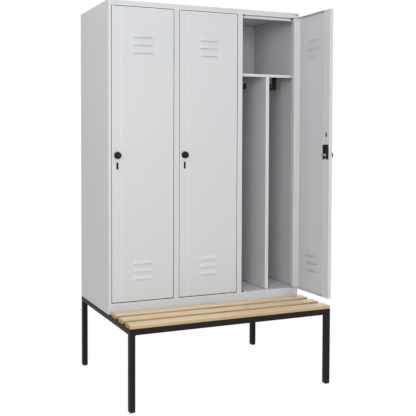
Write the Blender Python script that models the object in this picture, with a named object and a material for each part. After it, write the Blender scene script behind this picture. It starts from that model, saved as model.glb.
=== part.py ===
"""Steel locker with three compartments, standing on a tube frame with a slatted bench.

X runs from left to right, Y from the front to the rear and Z up from the floor. The cabinet's
front face lies at Y = 0 before the whole object is centred over its footprint.
"""
import math

import bmesh
import bpy
from mathutils import Vector

# Driving dimensions, in metres
body_width = 1.190
body_depth = 0.500
body_height = 1.680
bench_height = 0.420
bench_reach = 0.315
compartment_count = 3
seam = 0.0003
overrun = 0.001

# Folded sheet of the cabinet
sheet = 0.0008
stile_face = 0.015
top_rail_face = 0.0285
bottom_rail_face = 0.0587
frame_fold = 0.0195
rear_flange = 0.012
foot_flange = 0.025

# Doors, in the closed state
door_gap = 0.0035
door_foot_gap = 0.005
door_depth = 0.018
door_bend = 0.0012
lock_side_box = 0.052
hinge_side_box = 0.026
hinge_side_slope = 0.031
box_foot_gap = 0.0005
pivot_from_edge = 0.0085
pivot_from_face = 0.008
door_3_angle = math.radians(90)

# Louvres pressed out of each door
louvre_width = 0.117
louvre_height = 0.020
louvre_depth = 0.0045
louvre_end = 0.020
louvre_pitch = 0.042
top_louvre_lip = 1.9085
bottom_louvre_lip = 0.6005
louvres_in_group = 3
louvre_knee_share = 0.6
louvre_knee_height_share = 0.5
louvre_end_shares = (0.08, 0.4, 1.0)

# Door stops
stop_reach = 0.0115
stop_drop = 0.0165
stop_rise = 0.0085
stop_end_clearance = 0.012
stop_notch_width = 0.019
stop_notch_drop = 0.006

# Hinge pins
pin_radius = 0.004
pin_collar_radius = 0.006
pin_head_radius = 0.0055
pin_head_height = 0.002
pin_depth = 0.010

# Lock
knob_from_edge = 0.031
knob_height = 1.274
knob_radius = 0.019
knob_length = 0.022
knob_edge = 0.002
knob_base = 0.006
knob_rim = 0.001
knob_ring_radius = 0.011
knob_ring_width = 0.0025
knob_ring_height = 0.0015
knob_ring_slope = 0.001
shaft_radius = 0.009
core_radius = 0.007
core_length = 0.011
core_recess = 0.0004
key_slot_width = 0.0012
key_slot_height = 0.008
key_slot_depth = 0.008
cam_thickness = 0.002
cam_width = 0.014
cam_arm_length = 0.028
cam_tail_length = 0.013
cam_corner = 0.003
cam_clearance = 0.0009
cam_bolt_radius = 0.003
cam_bolt_head_radius = 0.006
cam_bolt_head_height = 0.004
cam_bolt_depth = 0.012
lock_case_width = 0.042
lock_case_top = 0.056
lock_case_bottom = 0.024
lock_case_depth = 0.007
lock_case_wall = 0.0016
lock_case_corner = 0.004
lock_case_notch = 0.012
lock_case_shift = 0.001

# Upright slot under the knob, with the lock's nose in it, and the small slot in the inner face
slot_width = 0.009
slot_height = 0.038
slot_below_knob = 0.057
lock_body_rim = 0.002
lock_body_depth = 0.011
lock_neck_radius = 0.014
inner_slot_width = 0.007
inner_slot_height = 0.023
inner_slot_above_knob = 0.1115
inner_slot_from_edge = 0.029

# Hat shelf, divider and coat hooks
shelf_top = 1.738
shelf_edge = 0.015
shelf_front = 0.027
shelf_return = 0.010
divider_face = 0.020
divider_front = 0.025
divider_return = 0.018
divider_hem = 0.008
divider_tongue = 0.005
hook_centre = 0.118
left_hook_shift = 0.024
hook_depth = 0.016
hook_bar = 0.020
hook_drop = 0.0839
hook_reach = 0.025
hook_tip_width = 0.010
hook_tip_height = 0.038
hook_foot_thickness = 0.013
hook_corner = 0.010
hook_tenon_width = 0.010
hook_barb = 0.003
hook_barb_height = 0.0025

# Bench frame of square tube
tube = 0.030
tube_wall = 0.002
tube_corner = 0.0025
foot_height = 0.025
foot_round = 0.009
foot_spigot = 0.020

# Beech slats
slat_count = 3
slat_width = 0.072
slat_thickness = 0.020
slat_gap = 0.033
slat_corner = 0.005
slat_inset = 0.003

# Roundness of turned pieces and rounded corners, in straight steps
knob_sides = 20
pin_sides = 12
corner_steps = 3
dome_steps = 5
smooth_angle = math.radians(35)

# Places that follow from the sizes above
compartment_width = body_width / compartment_count
body_top = bench_height + body_height
opening_top = body_top - top_rail_face
opening_bottom = bench_height + bottom_rail_face
wall_rear = body_depth - sheet - seam
inner_rear = wall_rear - sheet - seam
roof_underside = body_top - sheet
door_width = compartment_width - 2 * (stile_face + door_gap)
door_bottom = opening_bottom + door_foot_gap
door_top = opening_top - door_gap
door_left = pivot_from_edge - door_width
door_right = pivot_from_edge
door_front = -pivot_from_face
door_rear = door_depth - pivot_from_face
frame_top = bench_height - seam
stop_front = frame_fold + seam
stop_rear = door_depth + seam + lock_case_depth
cam_front = stop_rear + cam_clearance
shaft_end = cam_front - seam
shelf_underside = shelf_top - sheet
slat_pitch = slat_width + slat_gap

# Finishes: linear colour, roughness and metallic value
light_grey_coat = ((0.66, 0.67, 0.68), 0.45, 0.0)
dark_coat = ((0.035, 0.037, 0.042), 0.45, 0.0)
black_plastic = ((0.012, 0.012, 0.013), 0.40, 0.0)
zinc_steel = ((0.56, 0.57, 0.58), 0.35, 1.0)
nickel_brass = ((0.66, 0.62, 0.55), 0.25, 1.0)
beech = ((0.60, 0.47, 0.32), 0.45, 0.0)


def clear_scene():
    """Remove what the scene already holds."""
    for item in list(bpy.data.objects):
        bpy.data.objects.remove(item, do_unlink=True)


def add_empty(name, place, parent=None, turn=0):
    """Add an empty, turned about the upright axis, that carries other pieces."""
    empty = bpy.data.objects.new(name, None)
    empty.location = place
    empty.rotation_euler = (0, 0, turn)
    empty.parent = parent
    bpy.context.scene.collection.objects.link(empty)
    return empty


def own_material(name, finish):
    """Make a material of one finish for one piece."""
    colour, roughness, metallic = finish
    material = bpy.data.materials.new(name)
    material.use_nodes = True
    shader = material.node_tree.nodes["Principled BSDF"]
    shader.inputs["Base Color"].default_value = (*colour, 1)
    shader.inputs["Roughness"].default_value = roughness
    shader.inputs["Metallic"].default_value = metallic
    return material


def add_piece(name, mesh, finish, parent, place=(0, 0, 0)):
    """Add one named piece with its own material."""
    piece = bpy.data.objects.new(name, mesh)
    piece.location = place
    piece.parent = parent
    bpy.context.scene.collection.objects.link(piece)
    mesh.materials.append(own_material(name, finish))
    return piece


def add_tool(name, mesh, parent, place=(0, 0, 0)):
    """Add a shape that only cuts or joins, and isn't a piece."""
    tool = bpy.data.objects.new(name, mesh)
    tool.location = place
    tool.parent = parent
    tool.hide_render = True
    tool.display_type = "WIRE"
    bpy.context.scene.collection.objects.link(tool)
    return tool


def combine(piece, tool, operation="DIFFERENCE"):
    """Cut a piece by a tool, or join the tool to it."""
    modifier = piece.modifiers.new(tool.name, "BOOLEAN")
    modifier.operation = operation
    modifier.solver = "EXACT"
    modifier.object = tool


def folded(path, thickness):
    """Outline of a sheet folded along a path, with the sheet on the left of the path."""
    points = [Vector(point) for point in path]
    directions = [(end - start).normalized() for start, end in zip(points, points[1:])]
    normals = [Vector((-direction.y, direction.x)) for direction in directions]
    other_face = []
    for index, point in enumerate(points):
        mitre = normals[max(index - 1, 0)] + normals[min(index, len(normals) - 1)]
        other_face.append(point + mitre * (2 * thickness / mitre.length_squared))
    return points + other_face[::-1]


def rectangle(low, high):
    """Outline of a rectangle between two corners."""
    return [(low[0], low[1]), (high[0], low[1]), (high[0], high[1]), (low[0], high[1])]


def arc(centre, radius, start, end, steps):
    """Points along a round stretch, with its angles in degrees."""
    angles = [math.radians(start + (end - start) * step / steps) for step in range(steps + 1)]
    return [(centre[0] + radius * math.cos(a), centre[1] + radius * math.sin(a)) for a in angles]


def rounded_rectangle(low, high, radius, steps=corner_steps):
    """Outline of a rectangle with round corners."""
    left, bottom, right, top = low[0] + radius, low[1] + radius, high[0] - radius, high[1] - radius
    return (arc((left, bottom), radius, 180, 270, steps) + arc((right, bottom), radius, 270, 360, steps)
            + arc((right, top), radius, 0, 90, steps) + arc((left, top), radius, 90, 180, steps))


def obround(width, height, centre, steps=corner_steps * 2):
    """Outline of an upright slot with round ends."""
    radius = width / 2
    reach = height / 2 - radius
    return (arc((centre[0], centre[1] - reach), radius, 180, 360, steps)
            + arc((centre[0], centre[1] + reach), radius, 0, 180, steps))


def circle(centre, radius, sides):
    """Outline of a round hole or disc."""
    return arc(centre, radius, 0, 360, sides)[:-1]


def place_point(axis, along, point):
    """Put a point of an outline in space, where the outline is square to an axis."""
    first, second = point[0], point[1]
    if axis == "X":
        return (along, first, second)
    if axis == "Y":
        return (first, along, second)
    return (first, second, along)


def finish_mesh(name, shape, smooth=False):
    """Turn a bmesh into a mesh whose faces point out."""
    bmesh.ops.recalc_face_normals(shape, faces=shape.faces)
    mesh = bpy.data.meshes.new(name)
    shape.to_mesh(mesh)
    shape.free()
    if smooth:
        mesh.shade_smooth()
        mesh.set_sharp_from_angle(angle=smooth_angle)
    return mesh


def add_rings(shape, rings, closed=False):
    """Skin a row of rings with equal counts of points, and cap its ends unless it closes on itself."""
    loops = [[shape.verts.new(point) for point in ring] for ring in rings]
    pairs = list(zip(loops, loops[1:] + loops[:1])) if closed else list(zip(loops, loops[1:]))
    for lower, upper in pairs:
        count = len(lower)
        for index in range(count):
            following = (index + 1) % count
            shape.faces.new((lower[index], lower[following], upper[following], upper[index]))
    if not closed:
        shape.faces.new(loops[0][::-1])
        shape.faces.new(loops[-1])


def prisms(name, outlines, axis, smooth=False):
    """Solids of straight outlines: each is an outline with its lowest and highest place on the axis."""
    shape = bmesh.new()
    for outline, low, high in outlines:
        rings = [[place_point(axis, along, point) for point in outline] for along in (low, high)]
        add_rings(shape, rings)
    return finish_mesh(name, shape, smooth)


def boxes(name, corner_pairs):
    """Plain blocks between pairs of corners."""
    outlines = [(rectangle(low[:2], high[:2]), low[2], high[2]) for low, high in corner_pairs]
    return prisms(name, outlines, "Z")


def add_turned(shape, profile, sides, axis="Z", place=(0, 0, 0)):
    """Turn a profile of radii and heights about an axis, from one end on the axis to the other."""
    rings = []
    for radius, along in profile:
        ring = circle((0, 0), radius, sides) if radius else [(0, 0)]
        rings.append([shape.verts.new(Vector(place_point(axis, along, p)) + Vector(place)) for p in ring])
    for lower, upper in zip(rings, rings[1:]):
        for index in range(sides):
            following = (index + 1) % sides
            corners = [lower[index % len(lower)], lower[following % len(lower)],
                       upper[following % len(upper)], upper[index % len(upper)]]
            unique = list(dict.fromkeys(corners))
            if len(unique) > 2:
                shape.faces.new(unique)


def turned(name, profile, sides, axis="Z", places=((0, 0, 0),)):
    """Copies of one turned solid."""
    shape = bmesh.new()
    for place in places:
        add_turned(shape, profile, sides, axis, place)
    return finish_mesh(name, shape, smooth=True)


def mirrored(outline, across):
    """Outline mirrored from left to right within a width."""
    return [(across - point[0], point[1]) for point in outline]


def wall_faces(index):
    """Left and right inner face of a compartment's walls."""
    left = sheet if index == 0 else index * compartment_width + sheet / 2
    last = index == compartment_count - 1
    right = body_width - sheet if last else (index + 1) * compartment_width - sheet / 2
    return left, right


def build_side_panels(parent):
    """Outer walls, each folded to a stile in front and to a flange at the rear."""
    wall = [(rear_flange, wall_rear), (0, wall_rear), (0, 0), (stile_face, 0), (stile_face, frame_fold)]
    closed_wall = wall + [(sheet + seam, frame_fold)]
    outlines = {"side_panel_left": folded(wall, sheet),
                "side_panel_right": mirrored(folded(closed_wall, sheet), body_width)}
    for name, outline in outlines.items():
        panel = add_piece(name, prisms(name, [(outline, bench_height, body_top)], "Z"),
                          light_grey_coat, parent)
        low_x, high_x = (sheet, stile_face + overrun)
        if name == "side_panel_right":
            low_x, high_x = body_width - high_x, body_width - low_x
        roof_seat = boxes(name + "_roof_seat", [((low_x, sheet, roof_underside - seam),
                                                 (high_x, wall_rear + overrun, body_top + overrun))])
        combine(panel, add_tool(name + "_roof_seat", roof_seat, parent))


def build_top_panel(parent):
    """Roof with the folded top rail, and the holes of the upper hinge pins."""
    path = [(wall_rear, body_top), (0, body_top), (0, opening_top), (frame_fold, opening_top)]
    low_x, high_x = sheet + seam, body_width - sheet - seam
    panel = add_piece("top_panel", prisms("top_panel", [(folded(path, sheet), low_x, high_x)], "X"),
                      light_grey_coat, parent)
    stile_clear = sheet + seam
    below_roof = roof_underside - overrun
    corner = [(-overrun, opening_top - overrun), (frame_fold + overrun, opening_top - overrun),
              (frame_fold + overrun, below_roof), (stile_clear, below_roof),
              (stile_clear, body_top + overrun), (-overrun, body_top + overrun)]
    stile_end = stile_face + seam
    corners = prisms("top_panel_corners", [(corner, -overrun, stile_end),
                                           (corner, body_width - stile_end, body_width + overrun)], "X")
    combine(panel, add_tool("top_panel_corners", corners, parent))
    holes = [(circle((hinge_x(index), pivot_from_face), pin_radius + seam, pin_sides),
              opening_top - overrun, opening_top + sheet + overrun) for index in range(compartment_count)]
    combine(panel, add_tool("top_pin_holes", prisms("top_pin_holes", holes, "Z"), parent))


def build_floor_panel(parent):
    """Floor with the folded bottom rail and the flanges that stand on the bench frame."""
    path = [(inner_rear - foot_flange, bench_height), (inner_rear, bench_height),
            (inner_rear, opening_bottom), (0, opening_bottom), (0, bench_height),
            (foot_flange, bench_height)]
    low_x, high_x = sheet + seam, body_width - sheet - seam
    panel = add_piece("floor_panel", prisms("floor_panel", [(folded(path, sheet), low_x, high_x)], "X"),
                      light_grey_coat, parent)
    stile_end = stile_face + seam
    below, above = bench_height - overrun, opening_bottom + overrun
    corners = boxes("floor_panel_corners", [
        ((-overrun, -overrun, below), (stile_end, frame_fold + seam, above)),
        ((body_width - stile_end, -overrun, below), (body_width + overrun, frame_fold + seam, above))])
    combine(panel, add_tool("floor_panel_corners", corners, parent))
    holes = [(circle((hinge_x(index), pivot_from_face), pin_radius + seam, pin_sides),
              opening_bottom - sheet - overrun, opening_bottom + overrun)
             for index in range(compartment_count)]
    combine(panel, add_tool("floor_holes", prisms("floor_holes", holes, "Z"), parent))


def build_back_panel(parent):
    """Rear sheet, behind both side panels."""
    low = (0, body_depth - sheet, bench_height)
    high = (body_width, body_depth, body_top)
    add_piece("back_panel", boxes("back_panel", [(low, high)]), light_grey_coat, parent)


def build_partitions(parent):
    """Walls between the compartments, each folded to a post between two doors."""
    floor, notch, roof = opening_bottom + seam, opening_top - seam, roof_underside - seam
    half = sheet / 2
    outline = folded([(-half, wall_rear), (-half, frame_fold), (-stile_face, frame_fold), (-stile_face, 0),
                      (stile_face, 0), (stile_face, frame_fold), (half + box_foot_gap, frame_fold)], sheet)
    for index in range(1, compartment_count):
        centre = (index * compartment_width, 0, 0)
        name = f"partition_{index}"
        wall = add_piece(name, prisms(name, [(outline, floor, roof)], "Z"), light_grey_coat, parent, centre)
        rail_notch = boxes(name + "_notch", [((-stile_face - overrun, -overrun, notch),
                                              (stile_face + overrun, frame_fold + seam, roof + overrun))])
        combine(wall, add_tool(name + "_notch", rail_notch, parent, centre))


def build_door_stops(parent):
    """Strip behind the lock side and the top of each door, with a hem that the lock's cam catches."""
    lip_end = stile_face + stop_reach
    low_z, high_z = opening_bottom + seam, opening_top + stop_rise
    head_low = opening_top - stop_drop
    for index in range(compartment_count):
        start = index * compartment_width
        near = wall_faces(index)[0] - start + seam
        head_end = hinge_x(index) - start - stop_end_clearance
        notch_end, notch_z = stile_face + stop_notch_width, opening_top - stop_notch_drop
        outline = [(near, low_z), (lip_end, low_z), (lip_end, head_low), (head_end, head_low),
                   (head_end, high_z), (notch_end, high_z), (notch_end, notch_z), (near, notch_z)]
        name = f"door_stop_{index + 1}"
        strip = prisms(name, [(outline, stop_front, stop_front + sheet)], "Y")
        stop = add_piece(name, strip, light_grey_coat, parent, (start, 0, 0))
        hem = boxes(name + "_hem", [((lip_end - sheet, stop_front + sheet / 2, low_z),
                                     (lip_end, stop_rear, head_low))])
        combine(stop, add_tool(name + "_hem", hem, parent, (start, 0, 0)), "UNION")


def build_hinge_pins(parent):
    """Upper and lower pivot pin of each door, clipped into the frame's sheet, with a collar."""
    seat = sheet + seam
    for index in range(compartment_count):
        for side, level, up, gap in (("upper", opening_top, 1, door_gap),
                                     ("lower", opening_bottom, -1, door_foot_gap)):
            name = f"hinge_pin_{side}_{index + 1}"
            profile = [(0, -gap - pin_depth), (pin_radius, -gap - pin_depth), (pin_radius, seam - gap),
                       (pin_collar_radius, seam - gap), (pin_collar_radius, -seam), (pin_radius, -seam),
                       (pin_radius, seat), (pin_head_radius, seat), (pin_radius, seat + pin_head_height),
                       (0, seat + pin_head_height)]
            mesh = turned(name, [(radius, along * up) for radius, along in profile], pin_sides)
            add_piece(name, mesh, black_plastic, parent, (hinge_x(index), pivot_from_face, level))


def build_shelves(parent):
    """Hat shelf of each compartment, with a slot for each coat hook."""
    path = [(inner_rear, shelf_top), (shelf_front, shelf_top), (shelf_front, shelf_top - shelf_edge),
            (shelf_front + shelf_return, shelf_top - shelf_edge)]
    slot_x, slot_y = hook_tenon_width / 2 + seam, hook_depth / 2 + seam
    for index in range(compartment_count):
        left, right = wall_faces(index)
        name = f"hat_shelf_{index + 1}"
        shelf = add_piece(name, prisms(name, [(folded(path, sheet), left + seam, right - seam)], "X"),
                          light_grey_coat, parent)
        slots = [((x - slot_x, hook_centre - slot_y, shelf_underside - overrun),
                  (x + slot_x, hook_centre + slot_y, shelf_top + overrun)) for x in hook_places(index)]
        combine(shelf, add_tool(name + "_slots", boxes(name + "_slots", slots), parent))


def build_dividers(parent):
    """Middle wall of each compartment below the shelf, with its wide folded front edge."""
    half = divider_face / 2
    fold_end = divider_front + divider_return
    shelf_low = shelf_top - shelf_edge - seam
    tongue_radius = (half ** 2 + divider_tongue ** 2) / (2 * divider_tongue)
    lean = math.degrees(math.asin(half / tongue_radius))
    over_tongue = arc((0, shelf_low + divider_tongue - tongue_radius), tongue_radius,
                      90 + lean, 90 - lean, corner_steps * 2)
    over_tongue += [(half + overrun, shelf_low), (half + overrun, shelf_top), (-half - overrun, shelf_top),
                    (-half - overrun, shelf_low)]
    outline = folded([(-half, wall_rear), (-half, divider_front), (half, divider_front),
                      (half, fold_end), (half - divider_hem, fold_end)], sheet)
    for index in range(compartment_count):
        centre = ((index + 0.5) * compartment_width, 0, 0)
        name = f"divider_{index + 1}"
        column = [(outline, opening_bottom + seam, shelf_underside - seam)]
        divider = add_piece(name, prisms(name, column, "Z"), light_grey_coat, parent, centre)
        notch = boxes(name + "_notch", [((-half - overrun, divider_front + sheet, shelf_low),
                                         (half + overrun, fold_end + overrun, shelf_top))])
        combine(divider, add_tool(name + "_notch", notch, parent, centre))
        crown = prisms(name + "_crown", [(over_tongue, divider_front - overrun, divider_front + 2 * sheet)],
                       "Y")
        combine(divider, add_tool(name + "_crown", crown, parent, centre))


def hook_places(index):
    """Places of a compartment's two coat hooks: the left one hangs nearer to its wall."""
    left, right = wall_faces(index)
    centre = (index + 0.5) * compartment_width
    left_middle = (left + centre - divider_face / 2) / 2
    return (left_middle - left_hook_shift, (centre + divider_face / 2 + right) / 2)


def hook_outline(side):
    """Outline of a coat hook seen from the front, with its foot on one side of the bar."""
    bar = hook_bar / 2
    foot = bar + hook_reach
    tip_radius = hook_tip_width / 2
    throat_radius = (hook_reach - hook_tip_width) / 2
    foot_bottom = -hook_drop
    tip_centre = (foot - tip_radius, foot_bottom + hook_tip_height - tip_radius)
    throat_centre = (bar + throat_radius, foot_bottom + hook_foot_thickness + throat_radius)
    tenon, barb = hook_tenon_width / 2, hook_tenon_width / 2 + hook_barb
    barb_low = sheet + 2 * seam
    barb_high = barb_low + hook_barb_height
    outline = [(-bar, 0)]
    outline += arc((hook_corner - bar, foot_bottom + hook_corner), hook_corner, 180, 270, corner_steps)
    outline += arc((foot - hook_corner, foot_bottom + hook_corner), hook_corner, 270, 360, corner_steps)
    outline += arc(tip_centre, tip_radius, 0, 180, corner_steps * 2)
    outline += arc(throat_centre, throat_radius, 360, 180, corner_steps * 2)
    outline += [(bar, 0), (tenon, 0), (tenon, barb_low), (barb, barb_low), (tenon, barb_high),
                (-tenon, barb_high), (-barb, barb_low), (-tenon, barb_low), (-tenon, 0)]
    return [(side * x, z + shelf_underside - seam) for x, z in outline]


def build_coat_hooks(parent):
    """Two plastic hooks under each shelf, with their feet towards the divider."""
    for index in range(compartment_count):
        for place, side, word in zip(hook_places(index), (1, -1), ("left", "right")):
            name = f"coat_hook_{word}_{index + 1}"
            mesh = prisms(name, [(hook_outline(side), -hook_depth / 2, hook_depth / 2)], "Y", smooth=True)
            add_piece(name, mesh, black_plastic, parent, (place, hook_centre, 0))


def hinge_x(index):
    """Place of a door's pivot from the cabinet's left side."""
    return (index + 1) * compartment_width - stile_face - door_gap - pivot_from_edge


def door_outline():
    """Plan of the closed door block, with the bends at its two front corners."""
    left, right = door_left + door_bend, door_right - door_bend
    front = door_front + door_bend
    return (arc((left, front), door_bend, 180, 270, corner_steps)
            + arc((right, front), door_bend, 270, 360, corner_steps)
            + [(door_right, door_rear), (door_left, door_rear)])


def door_cavity():
    """Plan of all that is hollow in a door: two box profiles, their foot gaps and the open recess."""
    skin = door_front + sheet
    foot = skin + box_foot_gap
    left_in, right_in = door_left + sheet, door_right - sheet
    rear_in = door_rear - sheet
    beyond = door_rear + overrun
    lock_wall = door_left + lock_side_box
    slope_top = door_right - hinge_side_box
    slope_foot = slope_top - hinge_side_slope
    slope = (slope_foot - slope_top) / (skin - door_rear)
    slope_run = slope * (rear_in - foot)
    slope_beyond = slope_top + slope * overrun
    return [(left_in, skin), (right_in, skin), (right_in, rear_in), (slope_top + sheet, rear_in),
            (slope_top + sheet - slope_run, foot), (slope_top - slope_run, foot), (slope_top, rear_in),
            (slope_beyond, beyond), (lock_wall, beyond), (lock_wall, foot), (lock_wall - sheet, foot),
            (lock_wall - sheet, rear_in), (left_in, rear_in)]


def louvre_ring(x, lip, rear, drop):
    """Section of a louvre at one place of its width, closed behind the door's skin."""
    half = louvre_width / 2
    past = max(abs(x) - (half - louvre_end), 0) / louvre_end
    fullness = math.sqrt(max(1 - past ** 2, 0))
    height, depth = louvre_height * fullness, louvre_depth * fullness
    shift = rear - overrun if rear > sheet else 0
    knee = (shift - depth * louvre_knee_share, lip + height * louvre_knee_height_share)
    slope = (height * (1 - louvre_knee_height_share)) / (depth * louvre_knee_share)
    top = (rear, lip + height + slope * (rear - shift))
    profile = [top, knee, (shift - depth, lip - drop), (rear, lip - drop)]
    return [(x, door_front + y, z) for y, z in profile]


def louvres(name, rear, drop, shrink):
    """All louvres of a door as solids, either the pressed sheet's outside or its hollow."""
    shape = bmesh.new()
    half, end = louvre_width / 2, louvre_end
    centre = (door_left + door_right) / 2
    stations = [half - end * share for share in louvre_end_shares]
    stations = [-x for x in stations] + stations[::-1]
    for first_lip in (top_louvre_lip, bottom_louvre_lip):
        upward = -1 if first_lip == top_louvre_lip else 1
        for index in range(louvres_in_group):
            lip = first_lip + upward * index * louvre_pitch
            rings = [louvre_ring(x, lip, rear, drop) for x in stations]
            narrow = (half - shrink) / half
            add_rings(shape, [[(x * narrow + centre, y, z) for x, y, z in ring] for ring in rings])
    return finish_mesh(name, shape)


def door_holes(name):
    """Holes for the knob, the lock's neck, the two slots and the hinge pins."""
    shape = bmesh.new()
    knob_x = door_left + knob_from_edge
    slot_z = knob_height - slot_below_knob
    inner_x = door_left + inner_slot_from_edge
    inner_z = knob_height + inner_slot_above_knob
    width, height = inner_slot_width / 2, inner_slot_height / 2
    front, rear = door_front - overrun, door_rear + overrun
    skin_back = door_front + sheet + overrun
    across = [(circle((knob_x, knob_height), shaft_radius + seam, knob_sides), front, skin_back),
              (circle((knob_x, knob_height), lock_neck_radius + seam, knob_sides),
               door_rear - sheet - overrun, rear),
              (obround(slot_width + 2 * seam, slot_height + 2 * seam, (knob_x, slot_z)), front, skin_back),
              (rectangle((inner_x - width, inner_z - height), (inner_x + width, inner_z + height)),
               door_rear - sheet - overrun, rear)]
    upright = [(circle((0, 0), pin_radius + seam, pin_sides), low, high) for low, high in
               ((door_top - sheet - overrun, door_top + overrun),
                (door_bottom - overrun, door_bottom + sheet + overrun))]
    for axis, outlines in (("Y", across), ("Z", upright)):
        for outline, low, high in outlines:
            add_rings(shape, [[place_point(axis, along, point) for point in outline]
                              for along in (low, high)])
    return finish_mesh(name, shape)


def build_door_panel(number, hinge):
    """Folded door sheet with its box profiles, louvres and holes."""
    name = f"door_panel_{number}"
    panel = add_piece(name, prisms(name, [(door_outline(), door_bottom, door_top)], "Z", smooth=True),
                      light_grey_coat, hinge)
    cavity = prisms(name + "_cavity", [(door_cavity(), door_bottom + sheet, door_top - sheet)], "Z")
    combine(panel, add_tool(name + "_cavity", cavity, hinge))
    hoods = louvres(name + "_louvres", sheet / 2, 0, 0)
    combine(panel, add_tool(name + "_louvres", hoods, hinge), "UNION")
    hollows = louvres(name + "_hollows", sheet + overrun, overrun, sheet)
    combine(panel, add_tool(name + "_hollows", hollows, hinge))
    combine(panel, add_tool(name + "_holes", door_holes(name + "_holes"), hinge))


def build_lock_case(number, axis_empty):
    """Lock housing: a cover inside the door, a neck through its sheet and a nose in the upright slot."""
    half = lock_case_width / 2
    low_x, high_x = -half - lock_case_shift, half - lock_case_shift
    low_z, high_z = -lock_case_bottom, lock_case_top
    near, far = door_depth + seam, stop_rear
    corner, behind_skin = lock_case_corner, sheet + seam
    outline = arc((low_x + corner, low_z + corner), corner, 180, 270, corner_steps)
    outline += arc((0, low_z), lock_case_notch, 180, 0, corner_steps * 2)
    outline += arc((high_x - corner, low_z + corner), corner, 270, 360, corner_steps)
    outline += arc((high_x - corner, high_z - corner), corner, 0, 90, corner_steps)
    outline += arc((low_x + corner, high_z - corner), corner, 90, 180, corner_steps)
    name = f"lock_case_{number}"
    case = add_piece(name, prisms(name, [(outline, near, far)], "Y", smooth=True), black_plastic, axis_empty)
    wall = lock_case_wall
    hollow = boxes(name + "_hollow", [((low_x + wall, near - overrun, lock_neck_radius + wall),
                                       (high_x - wall, far - wall, high_z - wall))])
    combine(case, add_tool(name + "_hollow", hollow, axis_empty))
    neck = [(circle((0, 0), lock_neck_radius, knob_sides), behind_skin, near + lock_case_wall)]
    combine(case, add_tool(name + "_neck", prisms(name + "_neck", neck, "Y"), axis_empty), "UNION")
    centre = (0, -slot_below_knob)
    body_half = slot_width / 2 + lock_body_rim
    body_low = -slot_below_knob - slot_height / 2 - lock_body_rim
    body = boxes(name + "_body", [((-body_half, behind_skin, body_low),
                                   (body_half, lock_body_depth, overrun - shaft_radius))])
    combine(case, add_tool(name + "_body", body, axis_empty), "UNION")
    nose = [(obround(slot_width, slot_height, centre), 0, behind_skin + overrun)]
    combine(case, add_tool(name + "_nose", prisms(name + "_nose", nose, "Y"), axis_empty), "UNION")
    bore = [(circle((0, 0), shaft_radius + seam, knob_sides), behind_skin - overrun, far + overrun)]
    combine(case, add_tool(name + "_bore", prisms(name + "_bore", bore, "Y"), axis_empty))


def build_knob(number, axis_empty):
    """Turned knob with the bore of its key core in front and the cam's bolt hole behind."""
    front = -knob_length
    face = front + knob_ring_height
    bore = core_radius + seam
    ring_in = knob_ring_radius - knob_ring_width
    bottom = front + core_recess + core_length + knob_ring_height + seam
    bolt_bore = cam_bolt_radius + seam
    dome_start = knob_ring_radius + knob_ring_slope + knob_rim
    dome = []
    for step in range(dome_steps + 1):
        angle = math.radians(90) * step / dome_steps
        dome.append((dome_start + (knob_radius - dome_start) * math.sin(angle),
                     -knob_base + (face + knob_base) * math.cos(angle)))
    profile = [(0, bottom), (bore, bottom), (bore, face), (ring_in, face),
               (ring_in + knob_ring_slope, front), (knob_ring_radius, front),
               (knob_ring_radius + knob_ring_slope, face), *dome, (knob_radius, -knob_edge),
               (knob_radius - knob_edge, -seam), (shaft_radius, -seam), (shaft_radius, shaft_end),
               (bolt_bore, shaft_end), (bolt_bore, shaft_end - cam_bolt_depth - seam),
               (0, shaft_end - cam_bolt_depth - seam)]
    name = f"knob_{number}"
    add_piece(name, turned(name, profile, knob_sides, "Y"), black_plastic, axis_empty)


def build_lock_cam(number, axis_empty):
    """Cam that turns behind the door stop, one piece with the bolt in the end of the knob's shaft."""
    outline = rounded_rectangle((-cam_tail_length, -cam_width / 2), (cam_arm_length, cam_width / 2),
                                cam_corner)
    name = f"lock_cam_{number}"
    rear = cam_front + cam_thickness
    plate = prisms(name, [(outline, cam_front, rear)], "Y", smooth=True)
    cam = add_piece(name, plate, zinc_steel, axis_empty)
    tip, seat = shaft_end - cam_bolt_depth, rear - cam_thickness / 2
    head = rear + cam_bolt_head_height
    bolt = turned(name + "_bolt", [(0, tip), (cam_bolt_radius, tip), (cam_bolt_radius, seat),
                                   (cam_bolt_head_radius, seat), (cam_bolt_head_radius, head),
                                   (0, head)], pin_sides, "Y")
    combine(cam, add_tool(name + "_bolt", bolt, axis_empty), "UNION")


def build_lock_core(number, axis_empty):
    """Key cylinder's core, which turns in the knob."""
    front = -knob_length + knob_ring_height + core_recess
    rear = front + core_length
    name = f"lock_core_{number}"
    profile = [(0, front), (core_radius, front), (core_radius, rear), (0, rear)]
    core = add_piece(name, turned(name, profile, knob_sides, "Y"), nickel_brass, axis_empty)
    key_slot = boxes(name + "_key_slot", [((-key_slot_width / 2, front - overrun, -key_slot_height / 2),
                                           (key_slot_width / 2, front + key_slot_depth,
                                            key_slot_height / 2))])
    combine(core, add_tool(name + "_key_slot", key_slot, axis_empty))


def build_doors(parent):
    """The doors with their locks: the last one stands open."""
    for index in range(compartment_count):
        number = index + 1
        turn = door_3_angle if number == compartment_count else 0
        hinge = add_empty(f"door_hinge_{number}", (hinge_x(index), pivot_from_face, 0), parent, turn)
        build_door_panel(number, hinge)
        lock_axis = add_empty(f"lock_axis_{number}",
                              (door_left + knob_from_edge, door_front, knob_height), hinge)
        build_lock_case(number, lock_axis)
        build_knob(number, lock_axis)
        build_lock_cam(number, lock_axis)
        build_lock_core(number, lock_axis)


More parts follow.
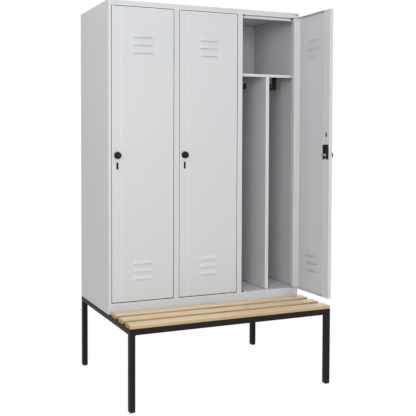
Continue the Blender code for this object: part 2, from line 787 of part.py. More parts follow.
def tube_mesh(name, axis, low, high):
    """Open-ended square tube along one axis, centred on the axis."""
    half = tube / 2
    outer = rounded_rectangle((-half, -half), (half, half), tube_corner)
    inner_half = half - tube_wall
    inner = rounded_rectangle((-inner_half, -inner_half), (inner_half, inner_half), tube_wall / 2)
    rings = [[place_point(axis, along, point) for point in outline]
             for outline, along in ((outer, low), (outer, high), (inner, high), (inner, low))]
    shape = bmesh.new()
    add_rings(shape, rings, closed=True)
    return finish_mesh(name, shape, smooth=True)


def slat_centres():
    """Y of the middle of each slat, from the front."""
    return [-bench_reach + slat_width / 2 + index * slat_pitch for index in range(slat_count)]


def build_bench_frame(parent):
    """Four legs and the rails between them, of square tube."""
    half = tube / 2
    level = frame_top - half
    left, right = half, body_width - half
    front, rear = half - bench_reach, body_depth - half
    for side, x in (("left", left), ("right", right)):
        for end, y in (("front", front), ("rear", rear)):
            name = f"leg_{end}_{side}"
            mesh = tube_mesh(name, "Z", foot_height + seam, frame_top)
            add_piece(name, mesh, dark_coat, parent, (x, y, 0))
    rails = {"rail_front": ("X", front), "rail_middle": ("X", half), "rail_rear": ("X", rear),
             "rail_left": ("Y", left), "rail_right": ("Y", right), "slat_support": ("Y", body_width / 2)}
    for name, (axis, offset) in rails.items():
        if axis == "X":
            low, high = tube + seam, body_width - tube - seam
            place = (0, offset, level)
        else:
            low = tube - bench_reach + seam
            high = body_depth - tube - seam if name != "slat_support" else -seam
            place = (offset, 0, level)
        add_piece(name, tube_mesh(name, axis, low, high), dark_coat, parent, place)


def build_feet(parent):
    """Plastic feet, pushed into the legs from below."""
    half = tube / 2
    plug = half - tube_wall - seam
    sections = []
    for step in range(dome_steps + 1):
        angle = math.radians(90) * step / dome_steps
        sections.append((half - foot_round * (1 - math.sin(angle)), tube_corner,
                         foot_round * (1 - math.cos(angle))))
    sections += [(half, tube_corner, foot_height), (plug, tube_wall / 2, foot_height),
                 (plug, tube_wall / 2, foot_height + foot_spigot)]
    for side, x in (("left", half), ("right", body_width - half)):
        for end, y in (("front", half - bench_reach), ("rear", body_depth - half)):
            rings = []
            for reach, radius, height in sections:
                outline = rounded_rectangle((-reach, -reach), (reach, reach), radius)
                rings.append([place_point("Z", height, point) for point in outline])
            shape = bmesh.new()
            add_rings(shape, rings)
            name = f"foot_{end}_{side}"
            add_piece(name, finish_mesh(name, shape, smooth=True), black_plastic, parent, (x, y, 0))


def build_slats(parent):
    """Three beech slats with rounded edges."""
    names = ("bench_slat_front", "bench_slat_middle", "bench_slat_rear")
    for name, y in zip(names, slat_centres()):
        outline = rounded_rectangle((y - slat_width / 2, bench_height),
                                    (y + slat_width / 2, bench_height + slat_thickness), slat_corner)
        mesh = prisms(name, [(outline, slat_inset, body_width - slat_inset)], "X", smooth=True)
        add_piece(name, mesh, beech, parent)


def footprint_centre():
    """Middle of the whole object's footprint, with the last door standing open."""
    knob_tip = hinge_x(compartment_count - 1) + pivot_from_face + knob_length
    high_x = max(body_width, knob_tip)
    low_y = min(-bench_reach, pivot_from_face + door_left)
    return (high_x / 2, (low_y + body_depth) / 2, 0)


def main():
    """Build the whole locker, centred over its footprint."""
    clear_scene()
    locker = add_empty("locker", -Vector(footprint_centre()))
    build_side_panels(locker)
    build_top_panel(locker)
    build_floor_panel(locker)
    build_back_panel(locker)
    build_partitions(locker)
    build_door_stops(locker)
    build_hinge_pins(locker)
    build_shelves(locker)
    build_dividers(locker)
    build_coat_hooks(locker)
    build_doors(locker)
    build_bench_frame(locker)
    build_feet(locker)
    build_slats(locker)


main()
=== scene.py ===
"""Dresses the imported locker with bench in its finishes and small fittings, and sets its studio."""

import logging
import math
from collections.abc import Iterable, Sequence
from dataclasses import dataclass
from enum import Enum

import bmesh
import bpy
from mathutils import Matrix, Vector

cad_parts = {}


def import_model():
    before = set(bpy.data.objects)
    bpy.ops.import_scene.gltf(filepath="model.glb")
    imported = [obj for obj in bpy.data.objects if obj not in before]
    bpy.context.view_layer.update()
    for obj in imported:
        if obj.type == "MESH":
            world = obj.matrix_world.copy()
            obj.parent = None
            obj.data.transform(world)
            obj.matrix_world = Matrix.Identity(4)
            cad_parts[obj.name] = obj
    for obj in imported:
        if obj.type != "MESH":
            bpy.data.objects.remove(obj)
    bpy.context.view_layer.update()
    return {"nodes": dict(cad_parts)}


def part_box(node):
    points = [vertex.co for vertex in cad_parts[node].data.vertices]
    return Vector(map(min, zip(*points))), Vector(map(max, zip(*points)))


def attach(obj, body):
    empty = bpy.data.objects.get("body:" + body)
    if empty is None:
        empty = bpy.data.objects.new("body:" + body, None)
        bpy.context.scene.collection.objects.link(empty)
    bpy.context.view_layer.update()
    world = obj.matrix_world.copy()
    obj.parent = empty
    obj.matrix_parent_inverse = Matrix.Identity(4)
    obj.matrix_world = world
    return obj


log = logging.getLogger("locker")

Pair = tuple[float, float]
Point = tuple[float, float, float]
Tree = bpy.types.NodeTree
Socket = bpy.types.NodeSocket
Mesh = bmesh.types.BMesh
Setting = float | str | Sequence[float] | Socket

MM = 0.001
COMPARTMENTS = 3
SMOOTH_ANGLE = math.radians(35)
WHITE = "#FFFFFF"
# Rays by which a shader finds the edges nearby, and how open a place is
EDGE_RAYS = 6
OPEN_RAYS = 8
# A wave texture of scale one turns by this many radians in a metre
WAVE_TURN = 20
# How far the lobes of a driver's socket stand out and in, as a share of its radius
LOBE = 0.14


class Slot(Enum):
    """Material slots of the record that a new piece's finish stands for."""

    GREY_COAT = "grey_coat"
    DARK_COAT = "dark_coat"
    BLACK_PLASTIC = "black_plastic"
    KNOB_PLASTIC = "knob_plastic"
    ZINC_STEEL = "zinc_steel"
    NICKEL_PLATE = "nickel_plate"
    BEECH = "beech"


class Outline(Enum):
    """Outlines that a ring of a turned or headed fitting can have."""

    ROUND = "round"
    HEXAGON = "hexagon"
    SIX_LOBES = "six lobes"


class Facing(Enum):
    """Directions in which a fitting's head looks, as the turn that brings +Z there."""

    DOWN = Matrix.Rotation(math.pi, 4, "X")
    FRONT = Matrix.Rotation(math.pi / 2, 4, "X")
    REAR = Matrix.Rotation(-math.pi / 2, 4, "X")


# Outline, radius and height of each ring of a fitting, from its seat to the middle of its head
Profile = Sequence[tuple[Outline, float, float]]

# These are in shares of the fitting's radius and height
BUFFER = ((Outline.ROUND, 1.0, 0.0), (Outline.ROUND, 1.0, 0.35), (Outline.ROUND, 0.9, 0.7),
          (Outline.ROUND, 0.65, 0.92), (Outline.ROUND, 0.25, 1.0))
PLUG = ((Outline.ROUND, 1.0, 0.0), (Outline.ROUND, 0.95, 0.5), (Outline.ROUND, 0.7, 0.85),
        (Outline.ROUND, 0.3, 1.0))
PAN_HEAD = ((Outline.ROUND, 1.0, 0.0), (Outline.ROUND, 1.0, 0.4), (Outline.ROUND, 0.85, 0.8),
            (Outline.ROUND, 0.62, 1.0), (Outline.SIX_LOBES, 0.42, 1.0),
            (Outline.SIX_LOBES, 0.38, 0.35))


def linear(colour: str) -> tuple[float, float, float, float]:
    """Turn an sRGB hex colour to the linear values that a socket takes.

    Args:
        colour: Six hex digits, with or without a leading hash.

    Returns:
        Linear red, green and blue, and an alpha of one.
    """
    digits = colour.lstrip("#")
    shares = [int(digits[start:start + 2], 16) / 255 for start in (0, 2, 4)]
    red, green, blue = [s / 12.92 if s <= 0.04045 else ((s + 0.055) / 1.055) ** 2.4 for s in shares]
    return red, green, blue, 1.0


def add_node(tree: Tree, kind: str,
             settings: dict[str | int, Setting] | None = None) -> bpy.types.NodeOutputs:
    """Add a shader node with its settings and incoming links.

    Args:
        tree: Node tree that gets the node.
        kind: Node type's identifier.
        settings: Values by the name of a property, or by the name or number of an input. An
            input also takes an output to link, or an sRGB hex colour.

    Returns:
        The new node's outputs.
    """
    node = tree.nodes.new(kind)
    for key, value in (settings or {}).items():
        if isinstance(value, Socket):
            tree.links.new(value, node.inputs[key])
        elif isinstance(key, str) and hasattr(node, key):
            setattr(node, key, value)
        else:
            node.inputs[key].default_value = linear(value) if isinstance(value, str) else value
    return node.outputs


def seen_share(tree: Tree) -> Socket:
    """Find the rays by which the studio is seen, straight, in a reflection or through glass.

    Args:
        tree: Node tree that gets the nodes.

    Returns:
        One for a ray of the camera, a reflection or a view through glass, and else nought.
    """
    path = add_node(tree, "ShaderNodeLightPath")
    share = path["Is Camera Ray"]
    for other in ("Is Glossy Ray", "Is Transmission Ray"):
        share = add_node(tree, "ShaderNodeMath", {"operation": "ADD", "use_clamp": True,
                                                  0: share, 1: path[other]})["Value"]
    return share


@dataclass(frozen=True)
class Ramp:
    """Range of a value, and the two values that its ends are turned to."""

    start: float = 0.0
    end: float = 1.0
    low: float = 0.0
    high: float = 1.0

    def limits(self) -> dict[str, float]:
        """Give the four values by the names of a node's inputs."""
        return {"From Min": self.start, "From Max": self.end,
                "To Min": self.low, "To Max": self.high}


@dataclass(frozen=True)
class Coating:
    """A finished material and the record's slot that stands for it."""

    material: bpy.types.Material
    slot: Slot


@dataclass(frozen=True)
class Finish:
    """A finish that one material is made from."""

    name: str

    def surface(self, tree: Tree) -> Socket:
        """Build the shader and give its output."""
        raise NotImplementedError

    def build(self) -> bpy.types.Material:
        """Make the material.

        Returns:
            The finished material.
        """
        material = bpy.data.materials.new(self.name)
        material.use_nodes = True
        tree = material.node_tree
        tree.nodes.clear()
        add_node(tree, "ShaderNodeOutputMaterial", {"Surface": self.surface(tree)})
        return material

    def coating(self, slot: Slot) -> Coating:
        """Make the material and pair it with its slot."""
        return Coating(self.build(), slot)


@dataclass(frozen=True)
class PowderCoat(Finish):
    """Powder coat, sprayed and baked on sheet steel.

    It gives the eye an even satin tone with the faint ripple of orange peel and a slow drift of
    tone over a large sheet, with a thin painted highlight along each bend, and painted shade, a
    darker, dull tone with less sheen, in narrow gaps and folds.
    """

    colour: str
    drift_colour: str
    # Colour of the painted highlight along each bend
    edge_highlight_colour: str
    # Colour of the painted shade in gaps, folds and weld marks
    painted_shade_colour: str
    roughness: Ramp = Ramp(low=0.40, high=0.52)
    specular: float = 0.5
    # Orange peel is about 2 mm from crest to crest; drawn at 5 mm, so that the render can show it
    peel_mm: float = 5.0
    peel_height_mm: float = 0.015
    peel_strength: float = 0.5
    # Grains of powder that didn't melt flat are under 0.2 mm; drawn at 1.5 mm
    grain_mm: float = 1.5
    # The tone drifts over roughly a third of a door
    drift_mm: float = 600.0
    bend_mm: float = 1.5
    # The painted highlight along a bend is 1 to 2 mm wide; drawn wider, so that it shows
    edge_mm: float = 4.0
    # It starts where the rounded normal leaves the flat one, and stays away from gaps
    edge: Ramp = Ramp(0.995, 0.85)
    outside: Ramp = Ramp(0.6, 0.9)
    # How far a point looks for what shuts it in: all pieces, or its own sheet alone
    crevice_mm: float = 12.0
    nook_mm: float = 18.0
    # Painted shade darkens the folds of a sheet a little
    nook_shade: Ramp = Ramp(0.99, 0.88, high=0.1)
    # The painted shade belongs to the gap between two pieces; a fold of one sheet keeps its own
    shut: Ramp = Ramp(0.75, 0.3)
    fold: Ramp = Ramp(0.45, 0.85, low=0.2)
    # Upright rows of spot welds, as distances to either side of the sheet's middle
    weld_rows_mm: tuple[float, ...] = ()
    weld_pitch_mm: float = 115.0
    # A mark is 6 mm wide and 0.1 mm deep; drawn wider and deeper, so that it shows
    weld_radius_mm: float = 8.0
    weld_floor_share: float = 0.6
    weld_depth_mm: float = 0.6
    weld_shade: float = 0.14

    def weld_marks(self, tree: Tree, place: Socket) -> Socket:
        """Find how far each point lies from the nearest spot weld.

        Args:
            tree: Node tree of the material.
            place: Object coordinates.

        Returns:
            Height of the sheet, one where it is flat and nought in the middle of a mark.
        """
        axes = add_node(tree, "ShaderNodeSeparateXYZ", {"Vector": place})
        aside = add_node(tree, "ShaderNodeMath", {"operation": "ABSOLUTE", 0: axes["X"]})["Value"]
        nearest = None
        for row in self.weld_rows_mm:
            off = add_node(tree, "ShaderNodeMath",
                           {"operation": "SUBTRACT", 0: aside, 1: row * MM})["Value"]
            gap = add_node(tree, "ShaderNodeMath", {"operation": "ABSOLUTE", 0: off})["Value"]
            nearest = gap if nearest is None else add_node(
                tree, "ShaderNodeMath", {"operation": "MINIMUM", 0: gap, 1: nearest})["Value"]
        rise = add_node(tree, "ShaderNodeMath", {"operation": "PINGPONG", 0: axes["Z"],
                                                 1: self.weld_pitch_mm / 2 * MM})["Value"]
        apart = add_node(tree, "ShaderNodeCombineXYZ", {"X": nearest, "Z": rise})["Vector"]
        distance = add_node(tree, "ShaderNodeVectorMath",
                            {"operation": "LENGTH", 0: apart})["Value"]
        dish = Ramp(self.weld_floor_share * self.weld_radius_mm * MM, self.weld_radius_mm * MM)
        return add_node(tree, "ShaderNodeMapRange", {
            "interpolation_type": "SMOOTHSTEP", **dish.limits(), "Value": distance})["Result"]

    def surface(self, tree: Tree) -> Socket:
        """Build the shader.

        Args:
            tree: Node tree of the material.

        Returns:
            The shader's output.
        """
        place = add_node(tree, "ShaderNodeTexCoord")["Object"]
        drift, grain, peel = [
            add_node(tree, "ShaderNodeTexNoise",
                     {"Scale": 1 / (size * MM), "Detail": detail, "Vector": place})["Fac"]
            for size, detail in ((self.drift_mm, 2.0), (self.grain_mm, 1.0), (self.peel_mm, 2.0))]
        rounded, near_edge = [
            add_node(tree, "ShaderNodeBevel",
                     {"samples": EDGE_RAYS, "Radius": radius * MM})["Normal"]
            for radius in (self.bend_mm, self.edge_mm)]
        flat = add_node(tree, "ShaderNodeNewGeometry")["Normal"]
        likeness = add_node(tree, "ShaderNodeVectorMath",
                            {"operation": "DOT_PRODUCT", 0: near_edge, 1: flat})["Value"]
        openness, nook = [
            add_node(tree, "ShaderNodeAmbientOcclusion",
                     {"samples": OPEN_RAYS, "only_local": is_alone, "Distance": reach * MM})["AO"]
            for is_alone, reach in ((False, self.crevice_mm), (True, self.nook_mm))]
        edge, outside, nook_shade_share, shut, unfolded, rough = [
            add_node(tree, "ShaderNodeMapRange", {**ramp.limits(), "Value": value})["Result"]
            for ramp, value in ((self.edge, likeness), (self.outside, openness), (self.nook_shade, nook),
                                (self.shut, openness), (self.fold, nook), (self.roughness, grain))]
        edge_highlight, gap = [
            add_node(tree, "ShaderNodeMath", {"operation": "MULTIPLY", 0: one, 1: other})["Value"]
            for one, other in ((edge, outside), (shut, unfolded))]
        # Painted highlight along the bends, then painted shade in the folds and gaps
        layers = [(drift, self.drift_colour), (edge_highlight, self.edge_highlight_colour),
                  (nook_shade_share, self.painted_shade_colour), (gap, self.painted_shade_colour)]
        normal = add_node(tree, "ShaderNodeBump", {
            "Strength": self.peel_strength, "Distance": self.peel_height_mm * MM, "Height": peel,
            "Normal": rounded})["Normal"]
        if self.weld_rows_mm:
            marks = self.weld_marks(tree, place)
            normal = add_node(tree, "ShaderNodeBump", {"Distance": self.weld_depth_mm * MM,
                                                       "Height": marks, "Normal": normal})["Normal"]
            shade = add_node(tree, "ShaderNodeMapRange",
                             {"To Min": self.weld_shade, "To Max": 0.0, "Value": marks})["Result"]
            layers.append((shade, self.painted_shade_colour))
        tone: str | Socket = self.colour
        for share, colour in layers:
            tone = add_node(tree, "ShaderNodeMix",
                            {"data_type": "RGBA", 0: share, 6: tone, 7: colour})[2]
        # Painted shade: the gap loses its sheen too, so that it reads darker
        sheen = add_node(tree, "ShaderNodeMapRange",
                         {"To Min": self.specular, "To Max": 0.0, "Value": gap})["Result"]
        return add_node(tree, "ShaderNodeBsdfPrincipled", {
            "IOR": 1.5, "Base Color": tone, "Roughness": rough, "Specular IOR Level": sheen,
            "Normal": normal})["BSDF"]


@dataclass(frozen=True)
class MouldedPlastic(Finish):
    """Plastic moulded in a spark-eroded tool.

    It gives the eye a dark, slightly broken sheen, with edges that catch a soft light.
    """

    colour: str
    worn_colour: str
    roughness: Ramp
    specular: float
    # The tool's texture is about 0.3 mm; drawn at 0.8 mm
    texture_mm: float = 0.8
    texture_height_mm: float = 0.03
    texture_strength: float = 0.4
    smear_mm: float = 16.0
    edge_mm: float = 0.6
    edge_rays: int = 4

    def surface(self, tree: Tree) -> Socket:
        """Build the shader.

        Args:
            tree: Node tree of the material.

        Returns:
            The shader's output.
        """
        place = add_node(tree, "ShaderNodeTexCoord")["Object"]
        texture = add_node(tree, "ShaderNodeTexVoronoi",
                           {"Scale": 1 / (self.texture_mm * MM), "Vector": place})["Distance"]
        smear = add_node(tree, "ShaderNodeTexNoise", {"Scale": 1 / (self.smear_mm * MM),
                                                      "Detail": 4.0, "Vector": place})["Fac"]
        tone = add_node(tree, "ShaderNodeMix", {"data_type": "RGBA", 0: smear, 6: self.colour,
                                                7: self.worn_colour})[2]
        rough = add_node(tree, "ShaderNodeMapRange",
                         {**self.roughness.limits(), "Value": smear})["Result"]
        rounded = add_node(tree, "ShaderNodeBevel", {"samples": self.edge_rays,
                                                     "Radius": self.edge_mm * MM})["Normal"]
        normal = add_node(tree, "ShaderNodeBump", {
            "Strength": self.texture_strength, "Distance": self.texture_height_mm * MM,
            "Height": texture, "Normal": rounded})["Normal"]
        return add_node(tree, "ShaderNodeBsdfPrincipled", {
            "IOR": 1.5, "Specular IOR Level": self.specular, "Base Color": tone,
            "Roughness": rough, "Normal": normal})["BSDF"]


@dataclass(frozen=True)
class PlatedMetal(Finish):
    """Steel or brass with a thin bright plating, turned or pressed before it was plated.

    It gives the eye a metal's grey, bright or dark, with fine tool lines and faint cloudy stains.
    """

    colour: str
    stain_colour: str
    roughness: Ramp
    # Tool lines are about 0.1 mm apart; drawn at 0.5 mm
    line_mm: float = 0.5
    line_height_mm: float = 0.01
    line_strength: float = 0.4
    stain_mm: float = 6.0

    def surface(self, tree: Tree) -> Socket:
        """Build the shader.

        Args:
            tree: Node tree of the material.

        Returns:
            The shader's output.
        """
        place = add_node(tree, "ShaderNodeTexCoord")["Object"]
        stain, lines = [
            add_node(tree, "ShaderNodeTexNoise",
                     {"Scale": 1 / (size * MM), "Detail": detail, "Vector": place})["Fac"]
            for size, detail in ((self.stain_mm, 5.0), (self.line_mm, 2.0))]
        tone = add_node(tree, "ShaderNodeMix", {"data_type": "RGBA", 0: stain, 6: self.colour,
                                                7: self.stain_colour})[2]
        rough = add_node(tree, "ShaderNodeMapRange",
                         {**self.roughness.limits(), "Value": stain})["Result"]
        normal = add_node(tree, "ShaderNodeBump", {
            "Strength": self.line_strength, "Distance": self.line_height_mm * MM,
            "Height": lines})["Normal"]
        return add_node(tree, "ShaderNodeBsdfPrincipled", {
            "Metallic": 1.0, "Base Color": tone, "Roughness": rough, "Normal": normal})["BSDF"]


@dataclass(frozen=True)
class LacqueredBeech(Finish):
    """Steamed beech, planed, rounded at its edges and finished with a clear matt lacquer.

    It gives the eye a warm pale tone with slow growth rings along the slat, short dark flecks,
    and hardly any sheen.
    """

    light_colour: str
    dark_colour: str
    fleck_colour: str
    flank_shade_colour: str
    end_grain_and_shade_colour: str
    # Each slat is cut from another place in the tree, at random within this
    board_shift: Point = (3.1, 0.9, 0.2)
    # The tree's growth bends the rings, slowly along a slat and faster across it
    bend_stretch: Point = (0.7, 6.0, 6.0)
    bend_scale: float = 1.6
    bend_m: float = 0.045
    # Growth rings are 2 to 4 mm apart; drawn 22 mm apart, 2 pi times this, so that they show
    ring_mm: float = 3.5
    ring_wander: float = 1.4
    ring_detail_scale: float = 0.8
    # The pith lies this far below and behind the slats' middle, so that the rings run flat
    pith_mm: Pair = (60.0, -90.0)
    ring_tones: Ramp = Ramp(low=0.1, high=0.6)
    ring_weight: float = 0.55
    # Streaks of the grain, with their stretch in patterns to the metre
    streaks: Point = (4.0, 160.0, 160.0)
    streak_weight: float = 0.7
    streak_start: float = -0.05
    # Flecks are 2 to 5 mm long and under 0.5 mm wide; drawn 1 mm wide, so that they show
    fleck_mm: float = 1.0
    fleck_stretch: float = 9.0
    fleck: Ramp = Ramp(0.6, 0.72, high=0.55)
    # Flanks are painted darker, as shade under light that falls from above
    # Shares of the upright and the sideways part of the normal that a flank and an end have
    flank: Ramp = Ramp(0.9, 0.4, high=0.6)
    end_grain: Ramp = Ramp(0.1, 0.8, high=0.7)
    # The gaps between the slats are painted a darker brown as shade, as far as they shade each other
    gap_mm: float = 90.0
    gap: Ramp = Ramp(0.92, 0.55)
    roughness: Ramp = Ramp(low=0.37, high=0.50)
    pore_height_mm: float = 0.03
    pore_strength: float = 0.35

    def surface(self, tree: Tree) -> Socket:
        """Build the shader.

        Args:
            tree: Node tree of the material.

        Returns:
            The shader's output.
        """
        board = add_node(tree, "ShaderNodeObjectInfo")["Random"]
        shift = add_node(tree, "ShaderNodeVectorMath",
                         {"operation": "SCALE", 0: self.board_shift, "Scale": board})["Vector"]
        place = add_node(tree, "ShaderNodeVectorMath", {
            "operation": "ADD", 0: add_node(tree, "ShaderNodeTexCoord")["Object"],
            1: shift})["Vector"]
        across = 1 / (self.fleck_mm * MM)
        along, streaked, flecked = [
            add_node(tree, "ShaderNodeVectorMath",
                     {"operation": "MULTIPLY", 0: place, 1: stretch})["Vector"]
            for stretch in (self.bend_stretch, self.streaks,
                            (across / self.fleck_stretch, across, across))]
        wander = add_node(tree, "ShaderNodeTexNoise", {"Scale": self.bend_scale, "Detail": 3.0,
                                                       "Vector": along})["Color"]
        bend = add_node(tree, "ShaderNodeVectorMath",
                        {"operation": "SCALE", 0: wander, "Scale": self.bend_m})["Vector"]
        from_pith = place
        for part in (bend, (0.0, self.pith_mm[0] * MM, self.pith_mm[1] * MM)):
            from_pith = add_node(tree, "ShaderNodeVectorMath",
                                 {"operation": "ADD", 0: from_pith, 1: part})["Vector"]
        rings = add_node(tree, "ShaderNodeTexWave", {
            "wave_type": "RINGS", "rings_direction": "X", "wave_profile": "SAW",
            "Scale": 1 / (self.ring_mm * MM) / WAVE_TURN, "Distortion": self.ring_wander,
            "Detail": 2.0, "Detail Scale": self.ring_detail_scale, "Vector": from_pith})["Fac"]
        flecks, streak = [
            add_node(tree, "ShaderNodeTexNoise",
                     {"Scale": 1.0, "Detail": detail, "Vector": pattern})["Fac"]
            for pattern, detail in ((flecked, 2.0), (streaked, 4.0))]
        normal = add_node(tree, "ShaderNodeNewGeometry")["Normal"]
        facing = add_node(tree, "ShaderNodeSeparateXYZ", {"Vector": normal})
        aside = add_node(tree, "ShaderNodeMath", {"operation": "ABSOLUTE", 0: facing["X"]})["Value"]
        openness = add_node(tree, "ShaderNodeAmbientOcclusion",
                            {"samples": OPEN_RAYS, "Distance": self.gap_mm * MM})["AO"]
        flank, end_grain, gap, fleck, ring_share, rough = [
            add_node(tree, "ShaderNodeMapRange", {**ramp.limits(), "Value": value})["Result"]
            for ramp, value in ((self.flank, facing["Z"]), (self.end_grain, aside),
                                (self.gap, openness), (self.fleck, flecks),
                                (self.ring_tones, rings), (self.roughness, streak))]
        streak_share = add_node(tree, "ShaderNodeMath", {
            "operation": "MULTIPLY_ADD", 0: streak, 1: self.streak_weight,
            2: self.streak_start})["Value"]
        grain = add_node(tree, "ShaderNodeMath", {
            "operation": "MULTIPLY_ADD", "use_clamp": True, 0: ring_share, 1: self.ring_weight,
            2: streak_share})["Value"]
        # The top keeps the light colour; the flanks are painted darker as shade, end grain drinks
        # more of the lacquer, so that the slats' ends stay darker, and the gaps get painted shade
        tone: str | Socket = self.light_colour
        for share, colour in ((grain, self.dark_colour), (flank, self.flank_shade_colour),
                              (end_grain, self.end_grain_and_shade_colour), (gap, self.end_grain_and_shade_colour),
                              (fleck, self.fleck_colour)):
            tone = add_node(tree, "ShaderNodeMix",
                            {"data_type": "RGBA", 0: share, 6: tone, 7: colour})[2]
        pores = add_node(tree, "ShaderNodeBump", {
            "Strength": self.pore_strength, "Distance": self.pore_height_mm * MM,
            "Height": flecks})["Normal"]
        return add_node(tree, "ShaderNodeBsdfPrincipled", {
            "IOR": 1.5, "Specular IOR Level": 0.15, "Coat Weight": 0.03, "Coat Roughness": 0.4,
            "Base Color": tone, "Roughness": rough, "Normal": pores})["BSDF"]


@dataclass(frozen=True)
class MouldedRubber(Finish):
    """Natural rubber, pressed in a mould, with a dull bloom on its surface.

    It gives the eye a soft dark grey without a highlight.
    """

    colour: str
    bloom_colour: str
    bloom_mm: float = 3.0
    skin_height_mm: float = 0.03
    skin_strength: float = 0.3

    def surface(self, tree: Tree) -> Socket:
        """Build the shader.

        Args:
            tree: Node tree of the material.

        Returns:
            The shader's output.
        """
        place = add_node(tree, "ShaderNodeTexCoord")["Object"]
        bloom = add_node(tree, "ShaderNodeTexNoise", {"Scale": 1 / (self.bloom_mm * MM),
                                                      "Detail": 4.0, "Vector": place})["Fac"]
        tone = add_node(tree, "ShaderNodeMix", {"data_type": "RGBA", 0: bloom, 6: self.colour,
                                                7: self.bloom_colour})[2]
        normal = add_node(tree, "ShaderNodeBump", {
            "Strength": self.skin_strength, "Distance": self.skin_height_mm * MM,
            "Height": bloom})["Normal"]
        return add_node(tree, "ShaderNodeBsdfPrincipled", {
            "IOR": 1.52, "Roughness": 0.85, "Base Color": tone, "Normal": normal})["BSDF"]


@dataclass(frozen=True)
class StudioFloor(Finish):
    """Matt white studio board.

    The camera sees it almost white, and still sees the shadow that the locker leaves on it.
    """

    colour: str = "#D2D2D2"
    # From 1.2 to 3 m out the floor turns plain white, so that it has no far edge
    glow: Ramp = Ramp(1.2, 3.0, low=0.975)
    centre: Point = (0.0, 0.0, 0.0)
    grit_mm: float = 2.5
    roughness: Ramp = Ramp(low=0.8, high=0.95)

    def surface(self, tree: Tree) -> Socket:
        """Build the shader.

        Args:
            tree: Node tree of the material.

        Returns:
            The shader's output.
        """
        place = add_node(tree, "ShaderNodeTexCoord")["Object"]
        grit = add_node(tree, "ShaderNodeTexNoise",
                        {"Scale": 1 / (self.grit_mm * MM), "Vector": place})["Fac"]
        rough = add_node(tree, "ShaderNodeMapRange",
                         {**self.roughness.limits(), "Value": grit})["Result"]
        board = add_node(tree, "ShaderNodeBsdfPrincipled", {
            "Base Color": self.colour, "Specular IOR Level": 0.0, "Roughness": rough})["BSDF"]
        light = add_node(tree, "ShaderNodeEmission", {"Color": WHITE, "Strength": 1.0})["Emission"]
        distance = add_node(tree, "ShaderNodeVectorMath",
                            {"operation": "DISTANCE", 0: place, 1: self.centre})["Value"]
        glow = add_node(tree, "ShaderNodeMapRange", {
            "interpolation_type": "SMOOTHSTEP", **self.glow.limits(), "Value": distance})["Result"]
        share = add_node(tree, "ShaderNodeMath",
                         {"operation": "MULTIPLY", 0: glow, 1: seen_share(tree)})["Value"]
        return add_node(tree, "ShaderNodeMixShader", {0: share, 1: board, 2: light})["Shader"]


@dataclass(frozen=True)
class Palette:
    """The finishes of the locker, each made once and shared by its pieces."""

    grey_coat: Coating
    welded_coat: Coating
    louvre_coat: Coating
    dark_coat: Coating
    knob_plastic: Coating
    rim_plastic: Coating
    black_plastic: Coating
    zinc_steel: Coating
    nickel_plate: Coating
    beech: Coating
    rubber: Coating

    @classmethod
    def made(cls) -> "Palette":
        """Make every finish.

        Returns:
            The palette.
        """
        # Each coat's colour, drift, painted highlight along bends and painted shade in gaps and
        # folds
        grey = ("#D1D3D5", "#CDCFD2", "#F4F5F6", "#2E3032")
        knob = MouldedPlastic("moulded_abs_knob", "#060607", "#0D0D0E",
                              Ramp(low=0.32, high=0.48), 0.15).build()
        return cls(
            grey_coat=PowderCoat("light_grey_powder_coat", *grey).coating(Slot.GREY_COAT),
            welded_coat=PowderCoat("light_grey_powder_coat_over_spot_welds", *grey,
                                   weld_rows_mm=(198.3, 583.0)).coating(Slot.GREY_COAT),
            # A darker copy of the grey coat, which paints shade on the strips behind the louvres'
            # slits
            louvre_coat=PowderCoat("light_grey_powder_coat_painted_shade_inside_louvres", "#C4C6C8", "#BCBEC0",
                                   "#D8D9DB", "#9A9C9E").coating(Slot.GREY_COAT),
            dark_coat=PowderCoat("anthracite_powder_coat", "#1A1D21", "#15181B", "#25282D",
                                 "#0A0B0D", Ramp(low=0.49, high=0.61), 0.14, drift_mm=200.0,
                                 edge_mm=2.0).coating(Slot.DARK_COAT),
            knob_plastic=Coating(knob, Slot.KNOB_PLASTIC),
            # The knob's darker plastic on the slot's rim paints the slot's shade black
            rim_plastic=Coating(knob, Slot.BLACK_PLASTIC),
            black_plastic=MouldedPlastic("moulded_polyamide_black", "#0D0D0E", "#161718",
                                         Ramp(low=0.44, high=0.60),
                                         0.22).coating(Slot.BLACK_PLASTIC),
            zinc_steel=PlatedMetal("zinc_plated_steel", "#C4C7CB", "#A9ADB3",
                                   Ramp(low=0.42, high=0.62)).coating(Slot.ZINC_STEEL),
            nickel_plate=PlatedMetal("black_nickel_plated_brass", "#27282A", "#1D1E1F",
                                     Ramp(low=0.20, high=0.40)).coating(Slot.NICKEL_PLATE),
            beech=LacqueredBeech("lacquered_beech", "#FCEED4", "#D4B88D", "#A68152", "#AE884F",
                                 "#A98039").coating(Slot.BEECH),
            rubber=MouldedRubber("pressed_rubber", "#161617",
                                 "#232324").coating(Slot.BLACK_PLASTIC),
        )


def skin(shape: Mesh, loops: Sequence[Sequence[bmesh.types.BMVert]],
         is_endless: bool = False) -> None:
    """Skin a row of loops into one closed solid.

    Args:
        shape: Mesh that gets the faces.
        loops: Loops with equal counts of vertices, in order.
        is_endless: Whether the last loop meets the first, so that no end is left to close.
    """
    count = len(loops[0])
    for lower, upper in zip(loops, [*loops[1:], loops[0]] if is_endless else loops[1:]):
        for index in range(count):
            following = (index + 1) % count
            shape.faces.new((lower[index], lower[following], upper[following], upper[index]))
    if not is_endless:
        shape.faces.new(loops[0][::-1])
        shape.faces.new(loops[-1])


def lofted(shape: Mesh, outlines: Iterable[Iterable[Pair]], heights: Iterable[float],
           turn: Matrix) -> None:
    """Skin a row of outlines, each at its own height, into one closed solid.

    Args:
        shape: Mesh that gets the solid.
        outlines: Outlines with equal counts of points, the lowest first.
        heights: Height of each outline.
        turn: Brings the solid from its own frame to the part's.
    """
    skin(shape, [[shape.verts.new(turn @ Vector((x, y, height))) for x, y in outline]
                 for outline, height in zip(outlines, heights)])


